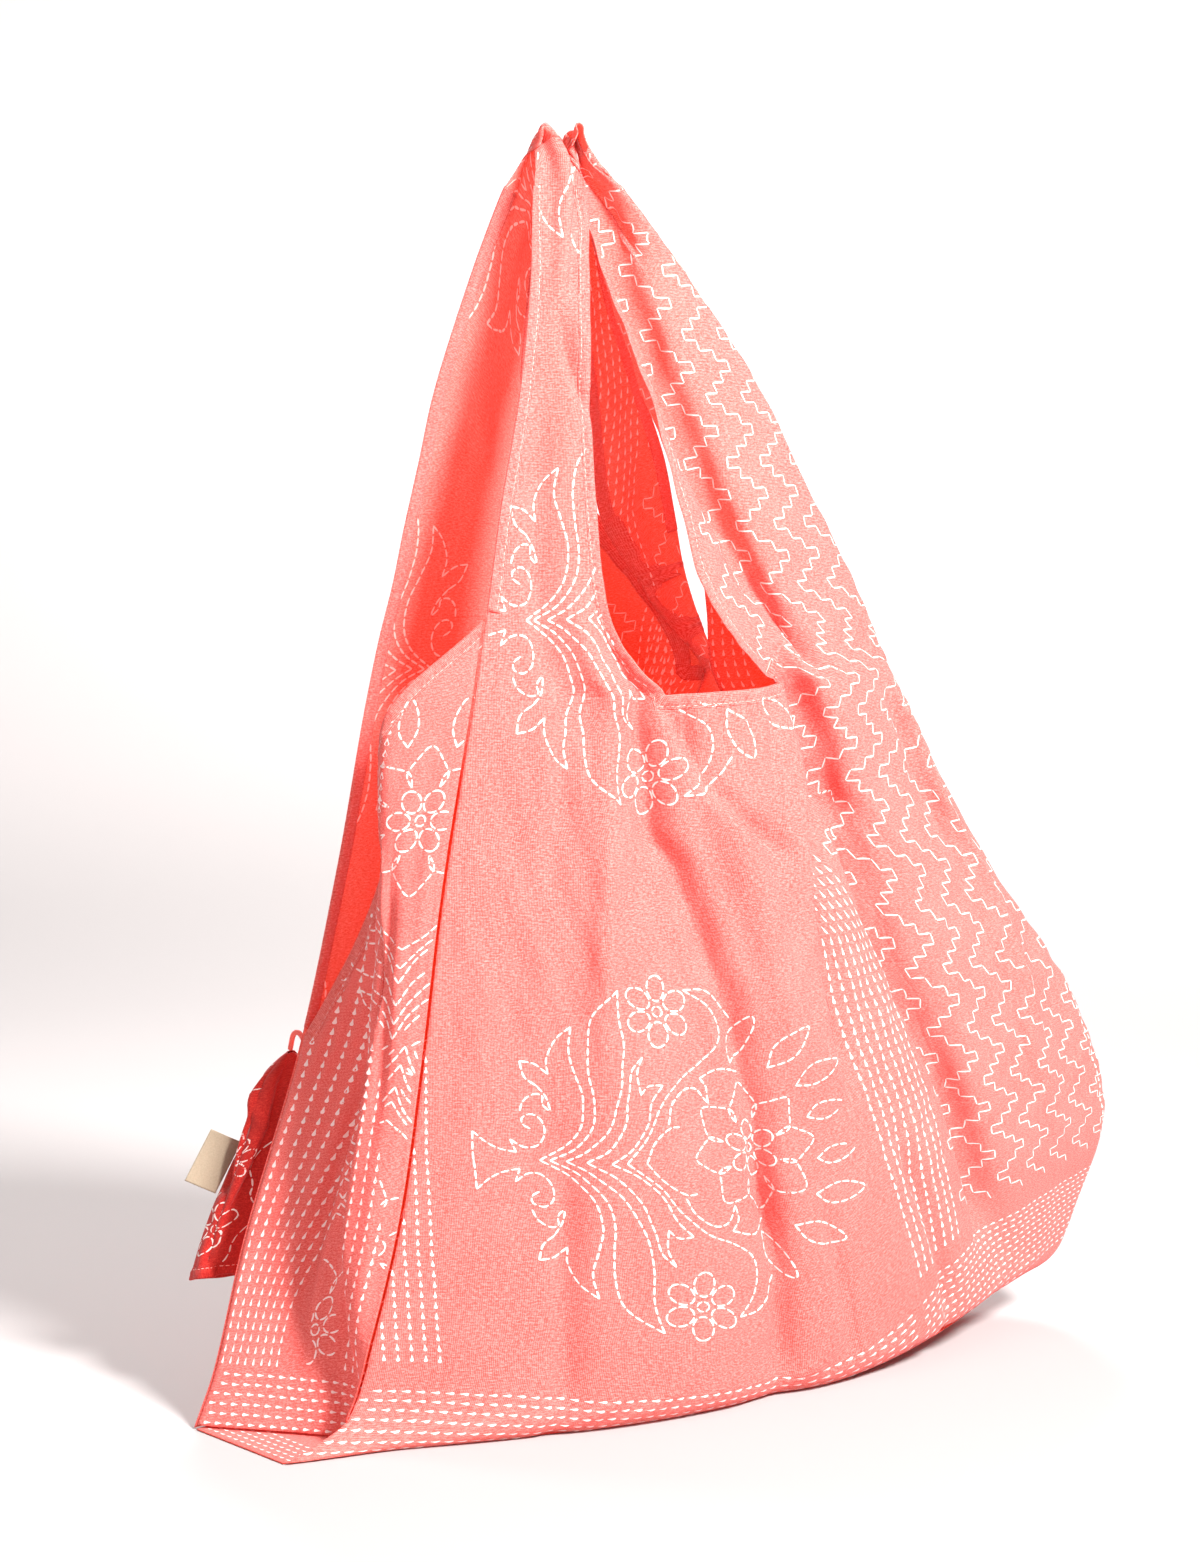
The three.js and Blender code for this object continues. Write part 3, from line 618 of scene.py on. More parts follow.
def creased(grid, outward, columns, heights, creases):
    normals = normalsOf(grid, outward)
    length = arcs(grid)
    heights = np.broadcast_to(heights, grid.shape[:2])
    middle = heights[:, len(columns) // 2]
    push = np.zeros(grid.shape[:2])
    for line, deep, left, right, fade in creases:
        line = np.reshape(line, (-1, 2))[::-1] / (1, 1000)
        across = np.interp(middle, line[:, 0], line[:, 1])
        at = np.array([np.interp(across[j], columns, length[j]) for j in range(len(grid))])
        off = length - at[:, None]
        profile = np.exp(-(off / np.where(off < 0, left, right)) ** 2)
        below, above = line[-1, 0] + fade / 2 - heights, heights - line[0, 0] + fade / 2
        push += deep * profile * (smooth(below / fade) * smooth(above / fade))
    return grid - normals * push[..., None]


# Worn cloth is never quite even: low ripples, longer down the cloth than across, that fade at the seams.
ripple = {"count": 9, "wide": (16, 46), "lean": 0.25, "bend": 6, "bendRun": (40, 90), "patch": (35, 80),
          "seamFade": 16, "rowFade": 8}


def rippled(grid, outward, seed, deep=0.34):
    length, level = arcs(grid), grid[..., 2]
    dice = np.random.default_rng(seed)
    push = np.zeros(grid.shape[:2])
    for _ in range(ripple["count"]):
        wide, turn = dice.uniform(*ripple["wide"]), dice.normal(0, ripple["lean"])
        shift = dice.uniform(0, 2 * np.pi)
        bend = ripple["bend"] * np.sin(level / dice.uniform(*ripple["bendRun"]) + shift)
        along = (length + bend) * math.cos(turn) + level * math.sin(turn)
        patch = 0.5 + 0.5 * np.sin(level / dice.uniform(*ripple["patch"]) + 2 * shift)
        push += deep * np.sin(2 * np.pi * along / wide + shift) * patch
    seam = np.minimum(length, length[:, -1:] - length)
    ends = np.minimum(np.arange(len(grid)), np.arange(len(grid))[::-1])[:, None]
    fade = smooth(seam / ripple["seamFade"]) * smooth(ends / ripple["rowFade"])
    return grid - normalsOf(grid, outward) * (push * fade)[..., None]


# The straps are drawn into a few soft folds where they are gathered, and their tops roll over towards
# each other. Pleats are given by their start and end along the panel, how many there are and a shift.
pleat = {"deep": 3.2, "from": 560, "run": 110, "power": 1.3, "roll": 8.5, "rollFrom": 676, "rollRun": 24}
frontPleats = ((0, 0.31, 1.1, 0.1), (0.52, 1.0, 1.6, 0.6))
backPleats = ((0, 0.46, 1.3, 0.4), (0.62, 1.0, 1.1, 0.2))


def pleated(grid, outward, columns, ranges):
    deep = pleat["deep"] * smooth((panelLevels - pleat["from"]) / pleat["run"]) ** pleat["power"]
    push = np.zeros(grid.shape[:2])
    for start, end, count, shift in ranges:
        t = np.clip((columns - start) / (end - start), 0, 1)
        folds, fine = count * t + shift, 2.3 * count * t + 0.3 + shift
        wave = np.sin(2 * np.pi * folds) + 0.25 * np.sin(2 * np.pi * fine)
        push += deep[:, None] * (wave * np.sin(np.pi * t) ** 0.5)[None, :]
    folded = grid - normalsOf(grid, outward) * push[..., None]
    turn = np.clip((panelLevels - pleat["rollFrom"]) / pleat["rollRun"], 0, 1)
    folded[..., 1] += outward * (pleat["roll"] * (1 - np.cos(turn * np.pi / 2)))[:, None]
    return folded


# ---- the sheets themselves
clothMm = 0.6
sheets = {}


def straightCloth(grid):
    return {"s": arcs(grid), "t": arcs(grid.transpose(1, 0, 2)).T}


def allKept(grid):
    return np.ones((grid.shape[0] - 1, grid.shape[1] - 1), bool)


def mouthKept(grid, columns, knots):
    middle = (columns[1:] + columns[:-1]) / 2
    keep = allKept(grid)
    keep[mouthRow:, (middle > knots[1]) & (middle < knots[2])] = False
    return keep


def addSheet(node, grid, outward, area, flat, keep=None, cloth=None, material=crepeCloth):
    sheet = {"grid": grid, "normals": normalsOf(grid, outward), "outward": outward, "area": area,
             "flat": flat, "keep": allKept(grid) if keep is None else keep,
             "cloth": cloth or straightCloth(grid), "material": material, "extra": []}
    sheet["piece"] = clothSheet(node + "_cloth", sheet, clothMm, material)
    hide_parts(node)
    sheets[node + "_cloth"] = sheet


def panelGrid(pointAt, outward, columns, creases, seed, pleats):
    grid = creased(pointAt(columns, panelLevels[:, None]), outward, columns, panelLevels[:, None], creases)
    return pleated(rippled(grid, outward, seed), outward, columns, pleats)


def gussetGrid(pointAt, outward, creases):
    grid = pointAt(shares, np.linspace(0, 1, 121)[:, None])
    return creased(grid, outward, shares, grid[..., 2], creases)


frontColumns = spread(frontKnots, (56, 38, 74, 10))
frontGrid = panelGrid(frontPoint, 1, frontColumns, frontCreases, 3, frontPleats)
addSheet("front_panel", frontGrid, 1, 0.228, (0.55, 0.72), mouthKept(frontGrid, frontColumns, frontKnots),
         frontClothAt(frontGrid, frontColumns, panelLevels))

backColumns = spread(backKnots, (56, 24, 44))
backGrid = panelGrid(backPoint, -1, backColumns, backCreases, 4, backPleats)
backKept = mouthKept(backGrid, backColumns, backKnots)
backKept[mouthRow:mouthRow + 5] = True    # the slack corner of the back mouth falls shut
addSheet("back_panel", backGrid, -1, 0.2, (0.53, 0.72), backKept)

shares = np.linspace(0, 1, 49)
leftGrid = rippled(gussetGrid(leftGussetPoint, -1, gussetCreases), -1, 5, 0.5)
addSheet("left_gusset", leftGrid, -1, 0.0425, (0.15, 0.42))
rightGrid = rippled(gussetGrid(rightGussetPoint, 1, rightCreases), 1, 6)
addSheet("right_gusset", rightGrid, 1, 0.047, (0.12, 0.48))

baseGrid = basePoint(*np.meshgrid(np.linspace(0, 1, 121), np.linspace(0, 1, 31)))
addSheet("base_panel", baseGrid, -1, 0.065, (0.54, 0.21))

pouchTurns = np.linspace(0, 1, 65)
pouchGrid = pouchPoint(pouchTurns, np.linspace(0, 1, 41)[:, None])
pouchGrid = creased(pouchGrid, 1, pouchTurns, pouchGrid[..., 2], pouchCreases)
addSheet("storage_pouch", pouchGrid, 1, 0.0108, (0.09, 0.14), material=pouchClothInPaintedShade)
print("cloth laid")


# ---- the print: thin marks of pale ink laid on a sheet, given in the cloth's own millimetres
inkLift = 0.13
locating = {"rounds": 8, "miss": 0.35, "jump": 2, "tiny": 1e-6, "longest": 6}


def cellOf(table, v, u):
    j = np.clip(v.astype(int), 0, table.shape[0] - 2)
    i = np.clip(u.astype(int), 0, table.shape[1] - 2)
    return j, i, v - j, u - i


def bilinear(table, v, u):
    j, i, b, a = cellOf(table, v, u)
    if table.ndim == 3:
        a, b = a[:, None], b[:, None]
    return ((table[j, i] * (1 - a) + table[j, i + 1] * a) * (1 - b)
            + (table[j + 1, i] * (1 - a) + table[j + 1, i + 1] * a) * b)


def slopes(table, v, u):
    j, i, b, a = cellOf(table, v, u)
    here, right, above, far = table[j, i], table[j, i + 1], table[j + 1, i], table[j + 1, i + 1]
    return (right - here) * (1 - b) + (far - above) * b, (above - here) * (1 - a) + (far - right) * a


# The grid's row and column, with fractions, where the cloth has each point's s and t.
def locate(sheet, cloth, points):
    s, t = cloth["s"], cloth["t"]
    rows, columns = s.shape
    tree = KDTree(s.size)
    for k, (a, b) in enumerate(zip(s.ravel(), t.ravel())):
        tree.insert((a, b, 0), k)
    tree.balance()
    start = np.array([tree.find((p[0], p[1], 0))[1] for p in points])
    v, u = (start // columns).astype(float), (start % columns).astype(float)
    jump, tiny = locating["jump"], locating["tiny"]
    for _ in range(locating["rounds"]):
        (su, sv), (tu, tv) = slopes(s, v, u), slopes(t, v, u)
        missS, missT = points[:, 0] - bilinear(s, v, u), points[:, 1] - bilinear(t, v, u)
        turn = su * tv - sv * tu
        turn = np.where(abs(turn) < tiny, tiny, turn)
        u = np.clip(u + np.clip((missS * tv - missT * sv) / turn, -jump, jump), 0, columns - 1.001)
        v = np.clip(v + np.clip((missT * su - missS * tu) / turn, -jump, jump), 0, rows - 1.001)
    miss = np.hypot(points[:, 0] - bilinear(s, v, u), points[:, 1] - bilinear(t, v, u))
    good = (miss < locating["miss"]) & sheet["keep"][v.astype(int), u.astype(int)]
    return v, u, good & (u.astype(int) != cloth.get("pleat", -1))


# A mark is a strip: its centre line, its half widths, and the way its width runs.
def strip(line, half):
    ahead = unit(np.gradient(line, axis=0))
    side = np.stack([-ahead[:, 1], ahead[:, 0]], 1) * half[:, None]
    return np.concatenate([line + side, line - side])


def teardrop(at, direction, wide):
    stations = at + np.array(direction) * dashLook["long"] * np.array((-0.5, -0.08, 0.22, 0.42, 0.5))[:, None]
    return strip(stations, wide / 2 * np.array((0.12, 0.5, 0.95, 0.8, 0.3)))


def dashes(line, long, gap, wide):
    line = np.asarray(line, float)
    run = runOf(line)
    count = max(1, round((run[-1] + gap) / (long + gap)))
    pitch = (run[-1] + gap) / count
    made = []
    for k in range(count):
        start, end = k * pitch, k * pitch + pitch - gap
        stations = max(3, int((end - start) / 1.5) + 1)
        half = np.full(stations, wide / 2)
        half[0] = half[-1] = wide * 0.3
        made.append(strip(interpolated(np.linspace(start, end, stations), run, line), half))
    return made


def lay(name, sheet, cloth, marks, side, ink):
    v, u, good = locate(sheet, cloth, np.concatenate(marks))
    normal = unit(bilinear(sheet["normals"], v, u))
    place = bilinear(sheet["grid"], v, u) + side * normal * (clothMm / 2 + inkLift)
    faces, used, total, at = [], [], 0, 0
    for size in map(len, marks):
        half, span, whole = size // 2, place[at:at + size], good[at:at + size].all()
        at += size
        if not whole or np.linalg.norm(np.diff(span[:half], axis=0), axis=1).max() > locating["longest"]:
            continue
        used.append(span)
        for n in range(total, total + half - 1):
            face = [n, n + 1, half + n + 1, half + n]
            faces.append(face if side * sheet["outward"] < 0 else face[::-1])
        total += size
    return bagPiece(name, np.concatenate(used), faces, ink)


# The print's parts, each as marks around the cloth's s and t.
dashLook = {"long": 3.9, "column": 1.8, "row": 1.7}
stairLook = {"step": 8.3, "rise": 5.8, "wide": 0.85, "pitch": 25}
motifStitch, pouchStitch = (4.6, 1.2, 1.1), (4.6, 1.2, 1.0)    # length, gap and width


def dashColumn(s, fromT, toT, pitch=6.3):
    return [teardrop((s, t), (0, -1), dashLook["column"]) for t in np.arange(fromT, toT, pitch)]


def dashRow(t, fromS, toS, pitch=6.3):
    return [teardrop((s, t), (1, 0), dashLook["row"]) for s in np.arange(fromS, toS, pitch)]


# One stair line down the cloth: three steps out and three back. Its treads and risers are whole strips.
def stairs(s, fromT, toT):
    step, rise, wide = stairLook["step"], stairLook["rise"], stairLook["wide"]
    made = []
    t, k, at = toT, 0, -1.5
    while t > fromT:
        way = 1 if k % 6 < 3 else -1
        made += dashes([(s + (at + 0.05 * way) * step, t), (s + (at + 0.95 * way) * step, t)], 20, 0.0, wide)
        at += way
        made += dashes([(s + at * step, t - 0.2), (s + at * step, t - rise + 0.2)], 20, 0.0, wide)
        t -= rise
        k += 1
    return made


def stairRow(first, count, fromT, toT):
    return [mark for k in range(count) for mark in stairs(first + stairLook["pitch"] * k, fromT, toT)]


def smoothLine(knots, step=0.8):
    knots = np.asarray(knots, float)
    if len(knots) == 2:
        return knots
    run = runOf(knots)
    return through(run, knots, np.arange(0, run[-1] + step, step))


def heading(turn):
    return math.cos(turn), math.sin(turn)


# Points turned to a heading and moved to a place.
def turned(points, along, at):
    x, y = np.asarray(points, float).T
    return np.stack([at[0] + x * along[0] - y * along[1], at[1] + x * along[1] + y * along[0]], 1)


def ring(centre, long, wide, along, count=26):
    angle = np.linspace(0, 2 * math.pi, count)
    return turned(np.stack([long * np.cos(angle), wide * np.sin(angle)], 1), along, centre)


def flower(centre, petals, inner, outer, wide, first):
    lines = [ring(centre, inner * 0.55, inner * 0.5, (1.0, 0.0))]
    middle, half = (inner + outer) / 2, (outer - inner) / 2
    for k in range(petals):
        c, s = heading(first + 2 * math.pi * k / petals)
        lines.append(ring((centre[0] + middle * c, centre[1] + middle * s), half, wide, (c, s)))
    return lines


# One half of the leafy motif, in mm from the tail's end and from the motif's own axis, in turn.
motifHalf = (
    (0, 0, 0, 18), (0, 18, 7, 11, 14, 7, 22, 5), (22, 5, 19, 13),
    (19, 13, 26, 8, 33, 9, 37, 16, 36, 24, 31, 28, 26, 26, 26, 22, 30, 19),
    (25, 30, 27, 36, 32, 40, 37, 39, 37, 34, 41, 30, 39, 38, 34, 45), (34, 45, 28, 50, 25, 60),
    (25, 60, 33, 58, 40, 52), (40, 52, 39, 62, 44, 73, 52, 80),
    (52, 80, 50, 66, 54, 52, 58, 38, 56, 22, 48, 10, 33, 0),
    (38, 0, 52, 8, 61, 20, 64, 34, 61, 52, 60, 70, 64, 86, 80, 101),
    (80, 101, 78, 84, 79, 62, 77, 40, 70, 20, 58, 7, 46, 0), (56, 0, 70, 9, 79, 24, 82, 40, 84, 54, 90, 62),
    (90, 62, 87, 52, 89, 40), (89, 40, 93, 45, 101, 45), (101, 45, 95, 36, 91, 22, 82, 9, 68, 0),
    (76, 0, 90, 14, 98, 30, 110, 45, 126, 54, 136, 63, 138, 76, 133, 88, 122, 97),
    (122, 97, 134, 96, 143, 88, 150, 78), (86, 0, 94, 12, 103, 20, 109, 20),
    (102, 22, 106, 33, 115, 41, 124, 40, 131, 31), (131, 31, 131, 40, 126, 46), (126, 46, 139, 50, 154, 46),
)
leafEdge = ((0, 0), (0.3, 0.2), (0.7, 0.18), (1, 0), (0.72, -0.15), (0.35, -0.17), (0, 0))
pointedPetal = ((18, -7.5), (24, -11), (31, -8), (40, 0), (31, 8), (24, 11), (18, 7.5))
wheelAt, wheelPetals = (154, 0), 8
# Leaves round the wheel: where each starts, its length and its lean in degrees.
motifLeaves = (((148, 52), 31, 62), ((171, 48), 33, 36), ((188, 34), 31, 16), ((193, 13), 26, 5))


def motif(atS, atT, along=(1.0, 0.0), keepMark=None):
    lines = [smoothLine(np.reshape(knots, (-1, 2)) * (1, side)) for knots in motifHalf for side in (1, -1)]
    for side in (1, -1):
        lines += flower((102, side * 87), 6, 6.0, 20.5, 5.6, 0.35)
    lines += flower(wheelAt, 6, 5.5, 18, 4.9, 0.5)
    for k in range(wheelPetals):
        lines.append(smoothLine(turned(pointedPetal, heading(2 * math.pi * k / wheelPetals), wheelAt)))
    for start, long, lean in motifLeaves:
        leaf = turned(long * np.array(leafEdge), heading(math.radians(lean)), start)
        lines += [smoothLine(leaf * (1, side)) for side in (1, -1)]
    made = [mark for line in lines for mark in dashes(turned(line, along, (atS, atT)), *motifStitch)]
    return [m for m in made if keepMark is None or keepMark(*m.mean(0))]


# ---- the print on each piece
# Columns of dashes side by side, with the pitch from column to column and from dash to dash.
def bandColumns(first, count, fromT, toT, pitch=6.2, each=6.3):
    return [mark for k in range(count) for mark in dashColumn(first + k * pitch, fromT, toT, each)]


def dashRows(fromT, count, fromS, toS, pitch=5.2):
    return [mark for k in range(count) for mark in dashRow(fromT - pitch * k, fromS + 1.5 * (k % 2), toS)]


# A layer is a cloth with its marks. Each is laid on the sheet's outer face and on its inner face.
def printed(name, layers, ways=((1, "outer"), (-1, "inner"))):
    sheet = sheets[name]
    for n, (cloth, marks) in enumerate(layers):
        for side, face in ways:
            ink = innerInk if face == "inner" else paleInk
            sheet["extra"].append(lay(f"{name}_print_{n}_{face}", sheet, cloth, marks, side, ink))
    print(name, "printed", sum(len(piece.data.polygons) for piece in sheet["extra"]))


# The cloth bulges out low on the right, where the stairs are spread over more of it.
frontLaid = sheets["front_panel_cloth"]["cloth"]
stretch = 0.78 + 0.22 * smooth((panelLevels - 240) / 160)
stairT = np.zeros_like(frontLaid["t"])
stairT[0] = frontLaid["t"][0] * stretch[0]
stairT[1:] = stairT[0] + np.cumsum(np.diff(frontLaid["t"], axis=0) * stretch[1:, None], axis=0)
stairMarks = bandColumns(281, 9, 15, 700, 6.2, 5.7) + bandColumns(503, 8, 15, 700, 6.2, 5.7)
stairMarks += stairRow(354, 7, 18, 690)
frontMarks = bandColumns(-27, 10, 19, 720, 6.1) + dashRows(0, 12, -60, 600)
for axis in (140, 441, 722):
    frontMarks += motif(51, axis, keepMark=lambda s, t: s < 268)
printed("front_panel_cloth", [(frontLaid, frontMarks), ({**frontLaid, "t": stairT}, stairMarks)])

# The back is the same cloth the other way round, so its motifs point towards the left fold.
backLaid = sheets["back_panel_cloth"]["cloth"]
strapS = np.interp(panelLevels, (0, 398, 425, 455, 500, 560, 620, 700),
                   (335, 335, 325, 310, 290, 275, 268, 262))
strapColumn = nearest(backColumns, backKnots[2])
fromStrap = backLaid["s"] - backLaid["s"][:, strapColumn:strapColumn + 1]
strapCloth = {"s": strapS[:, None] + fromStrap * 1.35, "t": backLaid["t"]}
onStrap = stairRow(347, 4, 398, 690) + bandColumns(274, 9, 398, 700)
backMarks = dashRows(24, 9, -5, 560) + bandColumns(172, 5, 44, 470) + stairRow(104, 3, 46, 470)
for axis in (165, 425, 705):
    backMarks += motif(70, axis, (-1.0, 0.0))
backMarks += motif(440, 165, (-1.0, 0.0)) + bandColumns(452, 8, 44, 330)
backMarks += motif(440, 425, (-1.0, 0.0), lambda s, t: t < 396)
printed("back_panel_cloth", [(backLaid, backMarks),
                             (strapCloth, [m for m in onStrap if m[:, 0].min() > strapS[0] - 70])])


# On a gusset s is measured level round the fold, and t is the height.
def levelCloth(pointAt, grid, hemLine, heights):
    top = through(*hemLine, shares)
    table = np.array([runOf(pointAt(shares, (z - onBase) / (top - onBase))) for z in heights])
    s = np.stack([np.interp(grid[:, i, 2], heights, table[:, i]) for i in range(len(shares))], 1)
    return {"s": s, "t": grid[..., 2].copy()}, np.interp(grid[..., 2], heights, table[:, -1])


leftCloth, leftWidth = levelCloth(leftGussetPoint, leftGrid, leftGussetHem, np.linspace(3, 440, 80))
fanShare = 0.35 + 0.36 * smooth((leftCloth["t"] - 60) / 180)
fanCloth = {"s": 50 * (leftWidth - leftCloth["s"]) / (leftWidth * fanShare), "t": leftCloth["t"]}
lobeMarks = []
for s, top in ((10, 120), (16, 160), (22, 200), (28, 218)):
    lobeMarks += dashColumn(s, 38, top)
lobeMarks += motif(17, 182, (0.0, 1.0), lambda s, t: t > 222 or s < 8)
lobeMarks += motif(113, 195, (-0.41, -0.91), lambda s, t: 36 < s < 50 + 0.28 * max(t - 40, 0) and t > 34)
lobeMarks += motif(4, 262, (0.12, -0.99), lambda s, t: 60 < t < 216 and s < 3 + 0.12 * (t - 60))
lobeMarks += dashRows(29, 6, -4, 130, 5.0)
printed("left_gusset_cloth", [(leftCloth, lobeMarks), (fanCloth, bandColumns(3.5, 8, 36, 420, 6.2, 6.0))])

rightCloth, rightWidth = levelCloth(rightGussetPoint, rightGrid, rightGussetHem, np.linspace(3, 504, 90))
rightMarks = bandColumns(4, 4, 60, 505) + dashRows(52, 6, -4, 130)
rightMarks += motif(50, 120, (0.0, 1.0), lambda s, t: 30 < s < 56)
rightFan = {"s": rightWidth - rightCloth["s"], "t": rightCloth["t"]}
printed("right_gusset_cloth", [(rightCloth, rightMarks), (rightFan, bandColumns(3, 4, 60, 500, 6.4))])

pouchLines = [smoothLine(np.reshape(knots, (-1, 2))) for knots in (
    (2, 10, 14, 40, 10, 74, 24, 108, 20, 132), (30, 6, 26, 30, 38, 52), (48, 84, 40, 104, 52, 130),
    (60, 8, 72, 36, 66, 66, 80, 96, 76, 128), (84, 20, 92, 48, 86, 72))]
for middle, size in (((44, 30), 17), ((14, 92), 15), ((50, 70), 13), ((84, 112), 15), ((4, 48), 13)):
    pouchLines += flower(middle, 6, 0.3 * size, size, 0.27 * size, 0.35)
pouchMarks = [mark for line in pouchLines for mark in dashes(line, *pouchStitch)]
printed("storage_pouch_cloth", [(sheets["storage_pouch_cloth"]["cloth"], pouchMarks)], ((1, "outer"),))

baseMarks = bandColumns(5, 5, 4, 200, 5.4)
printed("base_panel_cloth", [(sheets["base_panel_cloth"]["cloth"], baseMarks)], ((1, "outer"), (-1, "lip")))


# ---- hems: each free edge is turned in twice and stitched 5 mm from its fold
hem = {"stitchAt": 5.1, "stitchMm": 2.2, "gapMm": 1.0, "threadMm": 0.5, "puckerMm": 0.35, "stationMm": 1.1}
# The band's section, as places in from the edge and heights over the cloth's middle: outside, then inside.
hemSection = ((-0.5, 0.0), (-0.2, 0.5), (0.8, 0.72), (2.4, 0.8), (3.9, 0.74), (4.7, 0.5), (5.1, 0.38),
              (5.5, 0.5), (6.2, 0.5), (6.8, 0.2), (6.8, -0.35), (6.2, -0.8), (5.1, -0.65), (3.4, -0.95),
              (1.0, -0.8), (-0.2, -0.45))
# A stitch: the share of its length, its half width and its height at four stations.
stitchShape = ((0, 0.15, 0.0), (0.25, 0.5, 0.22), (0.75, 0.5, 0.22), (1, 0.15, 0.0))
threadMaterial, threadTree = newMaterial("coralSewingThread")
threadColour = colourOf(threadTree, noiseOf(threadTree, 2500.0, 1.0), "#F58A7E", "#FFC0B6")
closeMaterial(threadTree, {"Base Color": threadColour, "Roughness": 0.5, "Sheen Weight": 0.2})


# Stations along an edge: where they are, the way in from the edge, and the rows and columns per mm that way.
def alongEdge(sheet, nodes, turn):
    grid, nodes = sheet["grid"], np.array(nodes, float)
    run = runOf(bilinear(grid, nodes[:, 0], nodes[:, 1]))
    at = np.arange(0, run[-1], hem["stationMm"])
    v, u = interpolated(at, run, nodes).T
    normal = unit(bilinear(sheet["normals"], v, u))
    inward = np.cross(normal, unit(np.gradient(bilinear(grid, v, u), axis=0))) * turn
    for _ in range(3):
        inward[1:-1] = (inward[:-2] + 2 * inward[1:-1] + inward[2:]) / 4
    inward = unit(inward)
    j, i = cellOf(grid, v, u)[:2]
    steps = np.stack([grid[j + 1, i] - grid[j, i], grid[j, i + 1] - grid[j, i]], 2)
    dv, du = np.einsum("nij,nj->in", np.linalg.pinv(steps), inward)
    return at, v, u, dv, du, inward


def hemBand(name, sheet, nodes, turn):
    at, v, u, dv, du, inward = alongEdge(sheet, nodes, turn)
    rows, columns = sheet["grid"].shape[:2]
    pucker = np.sin(at / 2.1) + 0.6 * np.sin(at / 0.93 + 1.3) + 0.8 * np.sin(at / 5.7)

    def place(wide, high):
        inside = max(wide, 0.0)
        vv, uu = np.clip(v + dv * inside, 0, rows - 1.001), np.clip(u + du * inside, 0, columns - 1.001)
        share = math.exp(-((wide - hem["stitchAt"] + 1.2) / 1.6) ** 2) * (1 if high > 0 else 0.4)
        swell = hem["puckerMm"] * pucker * share
        return (bilinear(sheet["grid"], vv, uu) + inward * min(wide, 0.0)
                + unit(bilinear(sheet["normals"], vv, uu)) * (high + swell)[:, None])

    count = len(hemSection)
    points = np.stack([place(wide, high) for wide, high in hemSection], 1).reshape(-1, 3)
    made = bagPiece(name, points, tubeFaces(count, len(at)), sheet["material"])
    layCloth(made, np.stack([np.tile([wide for wide, _ in hemSection], len(at)), np.repeat(at, count)], 1))

    thread, threadFaces = [], []
    pitch = hem["stitchMm"] + hem["gapMm"]
    seat = place(hem["stitchAt"], 0.4)
    side = unit(np.cross(inward, np.gradient(seat, axis=0)))
    side *= np.sign((side * bilinear(sheet["normals"], v, u)).sum(1))[:, None]
    for start in np.arange(1.0, at[-1] - pitch, pitch):
        base = len(thread)
        for share, half, high in stitchShape:
            d = start + share * hem["stitchMm"]
            p, n, b = (interpolated(d, at, table) for table in (seat, side, inward))
            wide = hem["threadMm"] * half
            thread += [p - b * wide, p + n * (high + 0.08), p + b * wide]
        threadFaces += [[n, n + 1, n + 4, n + 3] for k in range(3) for n in (base + 3 * k, base + 3 * k + 1)]
    sheet["extra"] += [made, bagPiece(name + "_stitches", thread, threadFaces, threadMaterial)]


def columnEdge(column, fromRow, toRow):
    step = 1 if toRow > fromRow else -1
    return [(j, column) for j in range(fromRow, toRow + step, step)]


topRow = nearest(panelLevels, 670)
for name, columns, knots, leftFrom, rightFrom, way in (
        ("front_panel_cloth", frontColumns, frontKnots, 446, 500, 1),
        ("back_panel_cloth", backColumns, backKnots, 212, 476, -1)):
    first, second, last = nearest(columns, knots[1]), nearest(columns, knots[2]), len(columns) - 1
    bottom = [(mouthRow, i) for i in range(first + 1, second + 1)]
    for ending, edge, turn in (
            ("_mouth_hem", columnEdge(first, topRow, mouthRow) + bottom, -way),
            ("_mouth_hem_right", columnEdge(second, mouthRow, topRow), -way),
            ("_left_hem", columnEdge(0, topRow, nearest(panelLevels, leftFrom)), way),
            ("_right_hem", columnEdge(last, nearest(panelLevels, rightFrom), topRow), way)):
        hemBand(name + ending, sheets[name], edge, turn)
for name, way in (("left_gusset_cloth", 1), ("right_gusset_cloth", -1)):
    hemBand(name + "_hem", sheets[name], [(len(leftGrid) - 1, i) for i in range(len(shares))], way)
hemBand("storage_pouch_hem", sheets["storage_pouch_cloth"], [(0, i) for i in range(len(pouchTurns))], 1)
print("hems sewn")


# ---- label and tie
# The tape's colour and its thread's are darkened: painted shade, as the label hangs in shade.
labelLook = {"cream": "#A59580", "thread": "#8A7B64", "threadMm": 0.9, "thick": 0.7}
labelAt = {"corner": (-18, 142.2, 150), "short": (20, -27), "long": (32, 240), "bow": 1.5}   # mm and degrees
labelMaterial, labelTree = newMaterial("creamTape")
labelGrain = noiseOf(labelTree, 1000 / labelLook["threadMm"], 2.0, place=objectPlace(labelTree))
labelBump = bumpOf(labelTree, labelGrain, 0.4, 0.1 * mm)
labelColour = colourOf(labelTree, labelGrain, labelLook["cream"], labelLook["thread"])
closeMaterial(labelTree, {"Base Color": labelColour, "Roughness": 0.8, "Sheen Weight": 0.1,
                          "Normal": labelBump})

